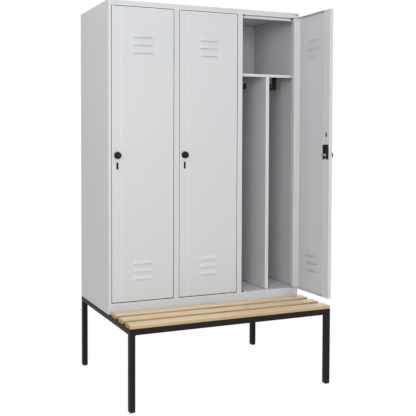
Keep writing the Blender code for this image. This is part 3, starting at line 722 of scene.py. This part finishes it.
def ring(outline: Outline, radius: float, sides: int = 24) -> list[Pair]:
    """Points of one ring about +Z.

    Args:
        outline: Shape of the ring.
        radius: Radius, or half the width across flats of a hexagon.
        sides: Count of points, a multiple of six.

    Returns:
        The ring's points in order.
    """
    points = []
    for step in range(sides):
        angle = 2 * math.pi * step / sides
        reach = radius
        if outline is Outline.HEXAGON:
            reach = radius / math.cos((angle + math.pi / 6) % (math.pi / 3) - math.pi / 6)
        elif outline is Outline.SIX_LOBES:
            reach = radius * (1 + LOBE * math.cos(6 * angle))
        points.append((reach * math.cos(angle), reach * math.sin(angle)))
    return points


def headed(shape: Mesh, profile: Profile, place: Point, facing: Facing, radius: float = 1.0,
           height: float = 1.0) -> None:
    """Add a turned or headed fitting.

    Args:
        shape: Mesh that gets the fitting.
        profile: Its rings, in metres, or in shares of its radius and height.
        place: Seat's middle.
        facing: Where the head looks.
        radius: Its radius, where the profile is in shares.
        height: Its height, where the profile is in shares.
    """
    lofted(shape, [ring(outline, share * radius) for outline, share, _ in profile],
           [share * height for _, _, share in profile], Matrix.Translation(place) @ facing.value)


def rounded_block(shape: Mesh, low: Point, high: Point, radius: float, steps: int = 2) -> None:
    """Add a block with round edges.

    Args:
        shape: Mesh that gets the block.
        low: Lowest corner.
        high: Highest corner.
        radius: Radius of its edges.
        steps: Faces across each rounded edge.
    """
    middle = (Vector(low) + Vector(high)) / 2
    size = Vector(high) - Vector(low)
    place = Matrix.Translation(middle) @ Matrix.Diagonal((*size, 1))
    made = bmesh.ops.create_cube(shape, size=1, matrix=place)
    edges = {edge for vert in made["verts"] for edge in vert.link_edges}
    bmesh.ops.bevel(shape, geom=list(edges), offset=radius, segments=steps, affect="EDGES",
                    profile=0.5)


def shrunk(outline: Sequence[Pair], inset: float) -> list[Pair]:
    """Draw every point of an outline in towards its middle.

    Args:
        outline: Outline about its middle.
        inset: How far each point moves.

    Returns:
        The smaller outline.
    """
    reaches = [math.hypot(x, y) for x, y in outline]
    return [(x * (1 - inset / reach), y * (1 - inset / reach))
            for (x, y), reach in zip(outline, reaches)]


def obround(width: float, height: float, steps: int = 8) -> list[Pair]:
    """Outline of an upright slot with round ends about its middle.

    Args:
        width: Its width.
        height: Its height.
        steps: Faces around each end.

    Returns:
        The outline's points in order.
    """
    radius, reach = width / 2, (height - width) / 2
    points = []
    for start, level in ((0, reach), (180, -reach)):
        for step in range(steps + 1):
            angle = math.radians(start + 180 * step / steps)
            points.append((radius * math.cos(angle), level + radius * math.sin(angle)))
    return points


def framed(shape: Mesh, size: Pair, bar: float, rise: float, turn: Matrix, steps: int = 4) -> None:
    """Add a raised rectangular frame with rounded corners, whose bars are half round.

    Args:
        shape: Mesh that gets the frame.
        size: Width and height of the middle of its bars.
        bar: Width of a bar.
        rise: How far a bar stands out.
        turn: Brings the frame from its own frame to the part's.
        steps: Faces around each corner.
    """
    width, height = size
    corner = 3 * bar
    section = ((-0.5, 0.0), (-0.35, 0.75), (0.0, 1.0), (0.35, 0.75), (0.5, 0.0))
    loops = []
    for x_sign, y_sign, start in ((1, 1, 0), (-1, 1, 90), (-1, -1, 180), (1, -1, 270)):
        for step in range(steps + 1):
            angle = math.radians(start + 90 * step / steps)
            across, up = math.cos(angle), math.sin(angle)
            x = x_sign * (width / 2 - corner) + corner * across
            y = y_sign * (height / 2 - corner) + corner * up
            loops.append([
                shape.verts.new(turn @ Vector((x + bar * out * across, y + bar * out * up,
                                               rise * level))) for out, level in section])
    skin(shape, loops, is_endless=True)


def bead(shape: Mesh, start: Vector, end: Vector, faces: tuple[Vector, Vector], leg: float,
         ripple: float) -> None:
    """Lay a weld bead with its ripples along an inner corner.

    Args:
        shape: Mesh that gets the bead.
        start: Where it starts in the corner.
        end: Where it ends in the corner.
        faces: Direction along each of the two faces, away from the corner.
        leg: How far it reaches along a face.
        ripple: Distance from ripple to ripple.
    """
    end_share, low_share, ripple_share = 0.6, 0.88, 0.12
    count = 2 * round((end - start).length / ripple)
    loops = []
    for step in range(count + 1):
        reach = leg * (end_share if step in (0, count) else low_share + ripple_share * (step % 2))
        loop = [start.lerp(end, step / count)]
        for angle in (0.0, 22.5, 45.0, 67.5, 90.0):
            across, up = math.cos(math.radians(angle)), math.sin(math.radians(angle))
            loop.append(loop[0] + faces[0] * (reach * across) + faces[1] * (reach * up))
        loops.append([shape.verts.new(place) for place in loop])
    skin(shape, loops)


def made_object(name: str, shape: Mesh, material: bpy.types.Material) -> bpy.types.Object:
    """Turn a mesh into an object of the scene.

    Args:
        name: Object's name.
        shape: Its mesh, which is used up.
        material: Its finish.

    Returns:
        The object.
    """
    mesh = bpy.data.meshes.new(name)
    shape.to_mesh(mesh)
    shape.free()
    mesh.materials.append(material)
    made = bpy.data.objects.new(name, mesh)
    bpy.context.scene.collection.objects.link(made)
    return made


@dataclass
class Plan:
    """Places on the cabinet that the fittings go by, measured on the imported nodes."""

    nodes: dict[str, bpy.types.Object]
    left: float = 0.0
    front: float = 0.0
    compartment: float = 0.0

    def __post_init__(self) -> None:
        """Measure the cabinet's side panels and rear sheet."""
        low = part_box("side_panel_left")[0]
        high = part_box("back_panel")[1]
        self.left, self.front = low.x, low.y
        self.compartment = (high.x - low.x) / COMPARTMENTS

    def at(self, across: float, behind: float, up: float) -> Point:
        """Give a place by its distances from the cabinet's left side, front face and the floor."""
        return self.left + across, self.front + behind, up


@dataclass
class Assembly:
    """A sub-assembly, which dresses its own CAD nodes and adds small fittings to them."""

    plan: Plan
    palette: Palette

    @property
    def body(self) -> str:
        """Name of the body that carries it."""
        return "cabinet"

    def dress(self, coating: Coating, names: Iterable[str]) -> None:
        """Give CAD nodes their finish.

        Args:
            coating: Finish for all of each node.
            names: The nodes' names.
        """
        for name in names:
            node = self.plan.nodes[name]
            if not node.material_slots:
                node.data.materials.append(None)
            for place in node.material_slots:
                place.material = coating.material
            log.info("%s wears %s", name, coating.material.name)

    def add_piece(self, name: str, shape: Mesh, coating: Coating) -> None:
        """Turn a mesh into a piece that rides on the sub-assembly's body.

        Args:
            name: Piece's name.
            shape: Its mesh, which is used up.
            coating: Its finish.
        """
        bmesh.ops.recalc_face_normals(shape, faces=shape.faces)
        piece = made_object(name, shape, coating.material)
        piece.data.shade_smooth()
        piece.data.set_sharp_from_angle(angle=SMOOTH_ANGLE)
        body, slot = self.body, coating.slot
        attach(piece, body)
        log.info("%s rides on %s, %d faces", name, body, len(piece.data.polygons))


@dataclass
class Cabinet(Assembly):
    """Sheet steel body with its shelves, dividers, hooks, door stops and hinge pins."""

    steel: tuple[str, ...] = ("side_panel_left", "side_panel_right", "top_panel", "floor_panel",
                              "partition_1", "partition_2")
    rear_sheet: str = "back_panel"
    steel_by_compartment: tuple[str, ...] = ("hat_shelf", "divider", "door_stop")
    plastic_by_compartment: tuple[str, ...] = ("coat_hook_left", "coat_hook_right",
                                               "hinge_pin_upper", "hinge_pin_lower")
    buffer_radius: float = 0.0034
    buffer_height: float = 0.0014
    buffer_across: float = 0.0222
    buffer_heights: tuple[float, ...] = (0.560, 1.274, 1.990)
    stop_front: float = 0.0198
    opening_top: float = 2.0715
    opening_bottom: float = 0.4787
    stile: float = 0.015
    top_gap: float = 0.0035
    bottom_gap: float = 0.005
    play: float = 0.0003
    # Width and depth of the blocks in a door's gaps, at its lock and at its hinge
    corner_block: Pair = (0.0170, 0.0175)
    hinge_block: Pair = (0.0215, 0.0165)
    hinge_block_inset: float = 0.0005
    block_front: float = 0.0005
    block_round: float = 0.0004
    # Ends of the pads on the stop's upper corners, from the compartment's left side
    pads: tuple[Pair, ...] = ((0.0153, 0.0337), (0.3490, 0.3602))
    pad_depths: Pair = (0.0184, 0.0197)
    pad_low: float = 2.0640
    plug_place: Pair = (1.168, 2.0885)
    plug_radius: float = 0.0045
    plug_rise: float = 0.25 * plug_radius
    bolt_places: tuple[float, ...] = (0.080, 0.340, 0.850, 1.110)
    rail_behinds: tuple[tuple[str, float], ...] = (("middle", 0.015), ("rear", 0.485))
    rail_underside: float = 0.3897
    washer_radius: float = 0.009
    washer_thickness: float = 0.0015
    # Half the width across the nut's flats, its height, and the rounding of its two ends
    nut_flats: float = 0.0065
    nut_height: float = 0.005
    nut_edges: Pair = (0.0004, 0.0006)

    def dress_nodes(self) -> None:
        """Give the cabinet's nodes their finishes."""
        self.dress(self.palette.grey_coat, self.steel)
        self.dress(self.palette.welded_coat, [self.rear_sheet])
        for number in range(1, COMPARTMENTS + 1):
            for coating, names in ((self.palette.grey_coat, self.steel_by_compartment),
                                   (self.palette.black_plastic, self.plastic_by_compartment)):
                self.dress(coating, [f"{name}_{number}" for name in names])

    def add_buffers(self) -> None:
        """Press three rubber buffers on the stop behind each door's lock side."""
        for number in range(COMPARTMENTS):
            across = number * self.plan.compartment + self.buffer_across
            shape = bmesh.new()
            for up in self.buffer_heights:
                headed(shape, BUFFER, self.plan.at(across, self.stop_front, up), Facing.FRONT,
                       self.buffer_radius, self.buffer_height)
            self.add_piece(f"door_buffers_{number + 1}", shape, self.palette.rubber)

    def add_block(self, shape: Mesh, across: Pair, behind: Pair, up: Pair) -> None:
        """Add a rounded block to a mesh, by the distances of its ends as the plan counts them."""
        low, high = zip(across, behind, up)
        rounded_block(shape, self.plan.at(*low), self.plan.at(*high), self.block_round)

    def add_gap_blocks(self) -> None:
        """Fill the ends of each door's gaps: rubber at the lock, moulded at the hinge.

        Two rubber pads on the stop's upper corners go with the blocks at the lock.
        """
        gaps = ((self.opening_top - self.top_gap + self.play, self.opening_top),
                (self.opening_bottom, self.opening_bottom + self.bottom_gap - self.play))
        front, top = self.block_front, self.opening_top - self.play
        for number in range(COMPARTMENTS):
            start = number * self.plan.compartment
            lock = start + self.stile
            hinge = (start + self.plan.compartment - self.stile - self.hinge_block_inset
                     - self.hinge_block[0])
            stops, bushes = bmesh.new(), bmesh.new()
            for gap in gaps:
                for shape, left, (width, depth) in ((stops, lock, self.corner_block),
                                                    (bushes, hinge, self.hinge_block)):
                    self.add_block(shape, (left, left + width), (front, front + depth), gap)
            for left, right in self.pads:
                self.add_block(stops, (start + left, start + right), self.pad_depths,
                               (self.pad_low, top))
            self.add_piece(f"corner_buffers_{number + 1}", stops, self.palette.rubber)
            self.add_piece(f"hinge_bushes_{number + 1}", bushes, self.palette.black_plastic)

    def add_rail_plug(self) -> None:
        """Press a small domed plug into the top rail over the last hinge."""
        across, up = self.plug_place
        shape = bmesh.new()
        headed(shape, PLUG, self.plan.at(across, 0.0, up), Facing.FRONT, self.plug_radius,
               self.plug_rise)
        self.add_piece("rail_plug", shape, self.palette.black_plastic)

    def add_frame_nuts(self) -> None:
        """Put a washer and a hexagon nut under the rails for each bolt that holds the cabinet."""
        washer, thickness = self.washer_radius, self.washer_thickness
        flats, top = self.nut_flats, self.washer_thickness + self.nut_height
        bolt = 0.55 * flats
        low_edge, high_edge = self.nut_edges
        # A washer with a worn edge, a nut with rounded ends and a bolt's domed end
        rings = ((Outline.ROUND, washer, 0.0), (Outline.ROUND, washer, 0.7 * thickness),
                 (Outline.ROUND, 0.95 * washer, thickness),
                 (Outline.HEXAGON, 0.98 * flats, thickness),
                 (Outline.HEXAGON, flats, thickness + low_edge),
                 (Outline.HEXAGON, flats, top - high_edge), (Outline.ROUND, 0.98 * flats, top),
                 (Outline.ROUND, bolt, top), (Outline.ROUND, bolt, top + 0.3 * bolt),
                 (Outline.ROUND, 0.75 * bolt, top + 0.5 * bolt))
        for rail, behind in self.rail_behinds:
            shape = bmesh.new()
            for across in self.bolt_places:
                headed(shape, rings, self.plan.at(across, behind, self.rail_underside), Facing.DOWN)
            self.add_piece(f"frame_nuts_{rail}", shape, self.palette.zinc_steel)

    def build(self) -> None:
        """Dress the cabinet and add its fittings."""
        self.dress_nodes()
        self.add_buffers()
        self.add_gap_blocks()
        self.add_rail_plug()
        self.add_frame_nuts()


@dataclass
class Door(Assembly):
    """One door with its lock case, knob, cam and key core."""

    number: int
    # Places on the closed door, from its pivot axis and the floor; the front face is negative
    front: float = -0.008
    rear: float = 0.010
    lock_edge: float = -0.3511667
    middle: float = -0.1672
    label_height: float = 1.9645
    label_size: Pair = (0.062, 0.034)
    label_bar: float = 0.0016
    label_rise: float = 0.0004
    # Lower edges of the louvres; the strip behind each one's slit rises over them
    louvre_edges: tuple[float, ...] = (1.9085, 1.8665, 1.8245, 0.6845, 0.6425, 0.6005)
    lip_rise: float = 0.0015
    lip_size: Pair = (0.112, 0.0065)
    lip_front: float = -0.00715
    lip_rear: float = -0.00635
    lip_round_share: float = 0.3
    insert_from_edge: float = 0.029
    insert_height: float = 1.3855
    insert_size: Pair = (0.0105, 0.025)
    # Shares of half the insert's width and height at which its corners are cut
    insert_toe: float = 0.6
    insert_heel: float = 0.8
    insert_shoulder: float = 0.55
    insert_rise: float = 0.0012
    insert_edge: float = 0.4 * insert_rise
    insert_plug: Pair = (0.0066, 0.0226)
    slot_size: Pair = (0.009, 0.038)
    slot_below_knob: float = 0.057
    slot_rim: float = 0.0013
    slot_rise: float = 0.0006
    knob_height: float = 1.274
    knob_from_edge: float = 0.031
    case_depth: float = 0.0253
    # Places of the case's screws, across and up from the knob's axis
    case_screws: tuple[Pair, ...] = ((-0.015, 0.048), (0.013, 0.048))
    screw_radius: float = 0.0034
    screw_head: float = 0.0018

    @property
    def body(self) -> str:
        """Name of the body that carries it."""
        return f"door_{self.number}"

    @property
    def turn(self) -> Matrix:
        """Turn from the closed door's own frame to the part's: the last door stands open.

        Returns:
            The turn, with the move to the door's pivot.
        """
        low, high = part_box(f"door_panel_{self.number}")
        is_open = high.y - low.y > high.x - low.x
        pin_low, pin_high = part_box(f"hinge_pin_upper_{self.number}")
        pivot = Vector(((pin_low.x + pin_high.x) / 2, (pin_low.y + pin_high.y) / 2, 0.0))
        swing = math.radians(90) if is_open else 0.0
        return Matrix.Translation(pivot) @ Matrix.Rotation(swing, 4, "Z")

    def add_label_frame(self) -> None:
        """Press a bare frame for a name card into the front, over the upper louvres."""
        place = Matrix.Translation((self.middle, self.front, self.label_height))
        shape = bmesh.new()
        framed(shape, self.label_size, self.label_bar, self.label_rise,
               self.turn @ place @ Facing.FRONT.value)
        self.add_piece(f"label_frame_{self.number}", shape, self.palette.grey_coat)

    def add_louvre_lips(self) -> None:
        """Put a narrow strip behind each louvre's slit, which keeps the inside from view and paints
        a lighter shade there.
        """
        half_width, height = self.lip_size[0] / 2, self.lip_size[1]
        radius = self.lip_round_share * (self.lip_rear - self.lip_front)
        shape = bmesh.new()
        for edge in self.louvre_edges:
            top = edge + self.lip_rise
            rounded_block(shape, (self.middle - half_width, self.lip_front, top - height),
                          (self.middle + half_width, self.lip_rear, top), radius)
        bmesh.ops.transform(shape, matrix=self.turn, verts=shape.verts)
        self.add_piece(f"louvre_lips_{self.number}", shape, self.palette.louvre_coat)

    def add_slot_insert(self) -> None:
        """Clip a moulded insert with a pointed top into the slot of the door's inner fold."""
        half_width, half_height = self.insert_size[0] / 2, self.insert_size[1] / 2
        toe, heel = self.insert_toe * half_width, -self.insert_heel * half_height
        shoulder = self.insert_shoulder * half_height
        outline = [(-half_width, heel), (-toe, -half_height), (toe, -half_height),
                   (half_width, heel), (half_width, shoulder), (0.0, half_height),
                   (-half_width, shoulder)]
        place = Matrix.Translation((self.lock_edge + self.insert_from_edge, self.rear,
                                    self.insert_height))
        turn = self.turn @ place @ Facing.REAR.value @ Matrix.Rotation(math.pi, 4, "Z")
        rise, edge = self.insert_rise, self.insert_edge
        shape = bmesh.new()
        lofted(shape, (outline, outline, shrunk(outline, edge)), (0.0, rise - edge, rise), turn)
        plug_x, plug_y = self.insert_plug[0] / 2, self.insert_plug[1] / 2
        plug = [(-plug_x, -plug_y), (plug_x, -plug_y), (plug_x, plug_y), (-plug_x, plug_y)]
        lofted(shape, (shrunk(plug, edge), plug, plug), (-2 * rise, edge - 2 * rise, rise / 2),
               turn)
        self.add_piece(f"slot_insert_{self.number}", shape, self.palette.black_plastic)

    def add_slot_rim(self) -> None:
        """Snap a thin moulded rim over the nose that fills the upright slot under the knob."""
        # A moulded rim; its darkest plastic and inward lip over the slot's walls paint their shade
        # black
        width, height = self.slot_size
        rim, rise = self.slot_rim, self.slot_rise
        # How much wider than the slot each outline of the rim is, and how high it lies
        steps = ((2 * rim, 0.0), (2 * rim, 0.5 * rise), (1.2 * rim, rise), (0.0, rise),
                 (-rim, 0.4 * rise))
        place = Matrix.Translation((self.lock_edge + self.knob_from_edge, self.front,
                                    self.knob_height - self.slot_below_knob))
        shape = bmesh.new()
        lofted(shape, [obround(width + wider, height + wider) for wider, _ in steps],
               [level for _, level in steps], self.turn @ place @ Facing.FRONT.value)
        self.add_piece(f"slot_rim_{self.number}", shape, self.palette.rim_plastic)

    def add_case_screws(self) -> None:
        """Put two pan-head screws into the top of the lock case."""
        shape = bmesh.new()
        for across, up in self.case_screws:
            place = (self.lock_edge + self.knob_from_edge + across, self.front + self.case_depth,
                     self.knob_height + up)
            headed(shape, PAN_HEAD, place, Facing.REAR, self.screw_radius, self.screw_head)
        bmesh.ops.transform(shape, matrix=self.turn, verts=shape.verts)
        self.add_piece(f"case_screws_{self.number}", shape, self.palette.nickel_plate)

    def dress_nodes(self) -> None:
        """Give the door's nodes their finishes."""
        coatings = {"door_panel": self.palette.grey_coat, "lock_case": self.palette.black_plastic,
                    "knob": self.palette.knob_plastic, "lock_cam": self.palette.zinc_steel,
                    "lock_core": self.palette.nickel_plate}
        for name, coating in coatings.items():
            self.dress(coating, [f"{name}_{self.number}"])

    def build(self) -> None:
        """Dress the door and add its fittings."""
        self.dress_nodes()
        self.add_label_frame()
        self.add_louvre_lips()
        self.add_slot_insert()
        self.add_slot_rim()
        self.add_case_screws()


@dataclass
class Bench(Assembly):
    """Welded tube frame with its feet and the three beech slats."""

    # Tubes that carry the slats, and the axis, 0 for X and 1 for Y, that each tube runs along
    carriers: tuple[str, ...] = ("rail_left", "slat_support", "rail_right")
    outer_tubes: tuple[tuple[str, int], ...] = (("rail_front", 0), ("rail_rear", 0),
                                                ("rail_left", 1), ("rail_right", 1))
    inner_tubes: tuple[tuple[str, int], ...] = (("rail_middle", 0), ("slat_support", 1))
    corners: tuple[str, ...] = ("front_left", "front_right", "rear_left", "rear_right")
    slats: tuple[str, ...] = ("bench_slat_front", "bench_slat_middle", "bench_slat_rear")
    screw_radius: float = 0.0045
    screw_head: float = 0.0024
    weld_leg: float = 0.0035
    weld_ripple: float = 0.0026
    weld_inset: float = 0.002

    def dress_nodes(self) -> None:
        """Give the frame's tubes, feet and slats their finishes."""
        self.dress(self.palette.dark_coat,
                   [tube for tube, _ in self.outer_tubes + self.inner_tubes])
        self.dress(self.palette.dark_coat, [f"leg_{corner}" for corner in self.corners])
        self.dress(self.palette.black_plastic, [f"foot_{corner}" for corner in self.corners])
        self.dress(self.palette.beech, self.slats)

    def add_slat_screws(self) -> None:
        """Put a pan-head screw up into each slat from under each tube that carries it."""
        for tube in self.carriers:
            low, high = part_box(tube)
            shape = bmesh.new()
            for slat in self.slats:
                slat_low, slat_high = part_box(slat)
                place = ((low.x + high.x) / 2, (slat_low.y + slat_high.y) / 2, low.z)
                headed(shape, PAN_HEAD, place, Facing.DOWN, self.screw_radius, self.screw_head)
            self.add_piece(f"slat_screws_{tube}", shape, self.palette.zinc_steel)

    def add_welds(self, name: str, tubes: Iterable[tuple[str, int]], is_upright: bool) -> None:
        """Weld the ends of some tubes to what they meet, and make one piece of the beads.

        Args:
            name: Piece's name.
            tubes: Name of each tube's node and the axis that it runs along.
            is_upright: Whether a bead goes up either side, rather than one along the underside.
        """
        shape = bmesh.new()
        for tube, run in tubes:
            low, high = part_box(tube)
            line, side_axis = (2, 1 - run) if is_upright else (1 - run, 2)
            sides = ((low, -1.0), (high, 1.0)) if is_upright else ((low, -1.0),)
            for end, inward in ((low, 1.0), (high, -1.0)):
                for side, outward in sides:
                    faces = Vector((0.0, 0.0, 0.0)), Vector((0.0, 0.0, 0.0))
                    faces[0][run], faces[1][side_axis] = inward, outward
                    first, last = Vector(low), Vector(high)
                    for place, inset in ((first, self.weld_inset), (last, -self.weld_inset)):
                        place[run], place[side_axis] = end[run], side[side_axis]
                        place[line] += inset
                    bead(shape, first, last, faces, self.weld_leg, self.weld_ripple)
        self.add_piece(name, shape, self.palette.dark_coat)

    def build(self) -> None:
        """Dress the bench and add its screws and welds."""
        self.dress_nodes()
        self.add_slat_screws()
        self.add_welds("leg_welds", self.outer_tubes, is_upright=False)
        self.add_welds("rail_welds", self.inner_tubes, is_upright=True)


@dataclass(frozen=True)
class Lamp:
    """Round soft lamp, turned to what it lights."""

    name: str
    place: Point
    target: Point
    size: float
    power: float

    def hang(self) -> None:
        """Hang the lamp in the studio."""
        lamp = bpy.data.lights.new(self.name, "AREA")
        lamp.shape = "DISK"
        lamp.size = self.size
        lamp.energy = self.power
        holder = bpy.data.objects.new(self.name, lamp)
        holder.location = self.place
        look = Vector(self.target) - Vector(self.place)
        holder.rotation_euler = look.to_track_quat("-Z", "Y").to_euler()
        bpy.context.scene.collection.objects.link(holder)


@dataclass
class Studio:
    """Plain pale floor, soft light and the camera at the photograph's angle."""

    lens: float = 60.291
    shift: Pair = (0.18, -0.11)
    clip: Pair = (0.1, 60.0)
    camera_place: Point = (-1.8119, -3.5741, 1.3603)
    yaw: float = math.radians(21.183)
    pitch: float = math.radians(1.891)
    floor_radius: float = 14.0
    floor_sides: int = 64
    ambient: float = 0.3
    lamps: tuple[Lamp, ...] = (
        Lamp("key_light", (-3.6, -4.4, 2.6), (0.0, 0.0, 1.4), 2.4, 118.0),
        Lamp("front_light", (0.5, -5.2, 2.0), (0.0, 0.0, 1.3), 3.0, 78.0),
        Lamp("left_light", (-3.2, -0.6, 3.5), (0.0, 0.0, 1.9), 2.0, 26.0),
        Lamp("top_light", (0.0, -1.6, 5.6), (0.0, 0.0, 1.3), 3.0, 26.0),
        Lamp("rear_light", (2.8, 4.6, 3.4), (0.0, 0.0, 1.3), 3.0, 100.0),
    )

    def add_floor(self) -> None:
        """Lay a round floor, which is stage and no piece of the part."""
        shape = bmesh.new()
        bmesh.ops.create_circle(shape, cap_ends=True, segments=self.floor_sides,
                                radius=self.floor_radius)
        floor = made_object("floor", shape, StudioFloor("studio_board").build())

    def add_world(self) -> None:
        """Surround the set with an even light that the camera sees as white."""
        world = bpy.data.worlds.new("studio")
        bpy.context.scene.world = world
        world.use_nodes = True
        tree = world.node_tree
        tree.nodes.clear()
        strength = add_node(tree, "ShaderNodeMapRange", {"To Min": self.ambient, "To Max": 1.0,
                                                         "Value": seen_share(tree)})["Result"]
        sky = add_node(tree, "ShaderNodeBackground", {"Color": WHITE, "Strength": strength})
        add_node(tree, "ShaderNodeOutputWorld", {"Surface": sky["Background"]})

    def add_camera(self) -> None:
        """Set the camera where the photograph was taken from."""
        data = bpy.data.cameras.new("camera")
        data.lens = self.lens
        data.shift_x, data.shift_y = self.shift
        data.clip_start, data.clip_end = self.clip
        camera = bpy.data.objects.new("camera", data)
        camera.location = self.camera_place
        level = math.cos(self.pitch)
        look = Vector((math.sin(self.yaw) * level, math.cos(self.yaw) * level,
                       -math.sin(self.pitch)))
        camera.rotation_euler = look.to_track_quat("-Z", "Y").to_euler()
        bpy.context.scene.collection.objects.link(camera)
        bpy.context.scene.camera = camera

    def build(self) -> None:
        """Set the whole studio."""
        self.add_floor()
        self.add_world()
        for lamp in self.lamps:
            lamp.hang()
        self.add_camera()
        bpy.context.scene.view_settings.view_transform = "Standard"
        log.info("studio is set")


def main() -> None:
    """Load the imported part, dress every sub-assembly and set the studio."""
    logging.basicConfig(level=logging.INFO, format="%(name)s: %(message)s")
    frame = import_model()
    plan = Plan(frame["nodes"])
    palette = Palette.made()
    Cabinet(plan, palette).build()
    for number in range(1, COMPARTMENTS + 1):
        Door(plan, palette, number).build()
    Bench(plan, palette).build()
    Studio().build()


if __name__ == "__main__":
    main()
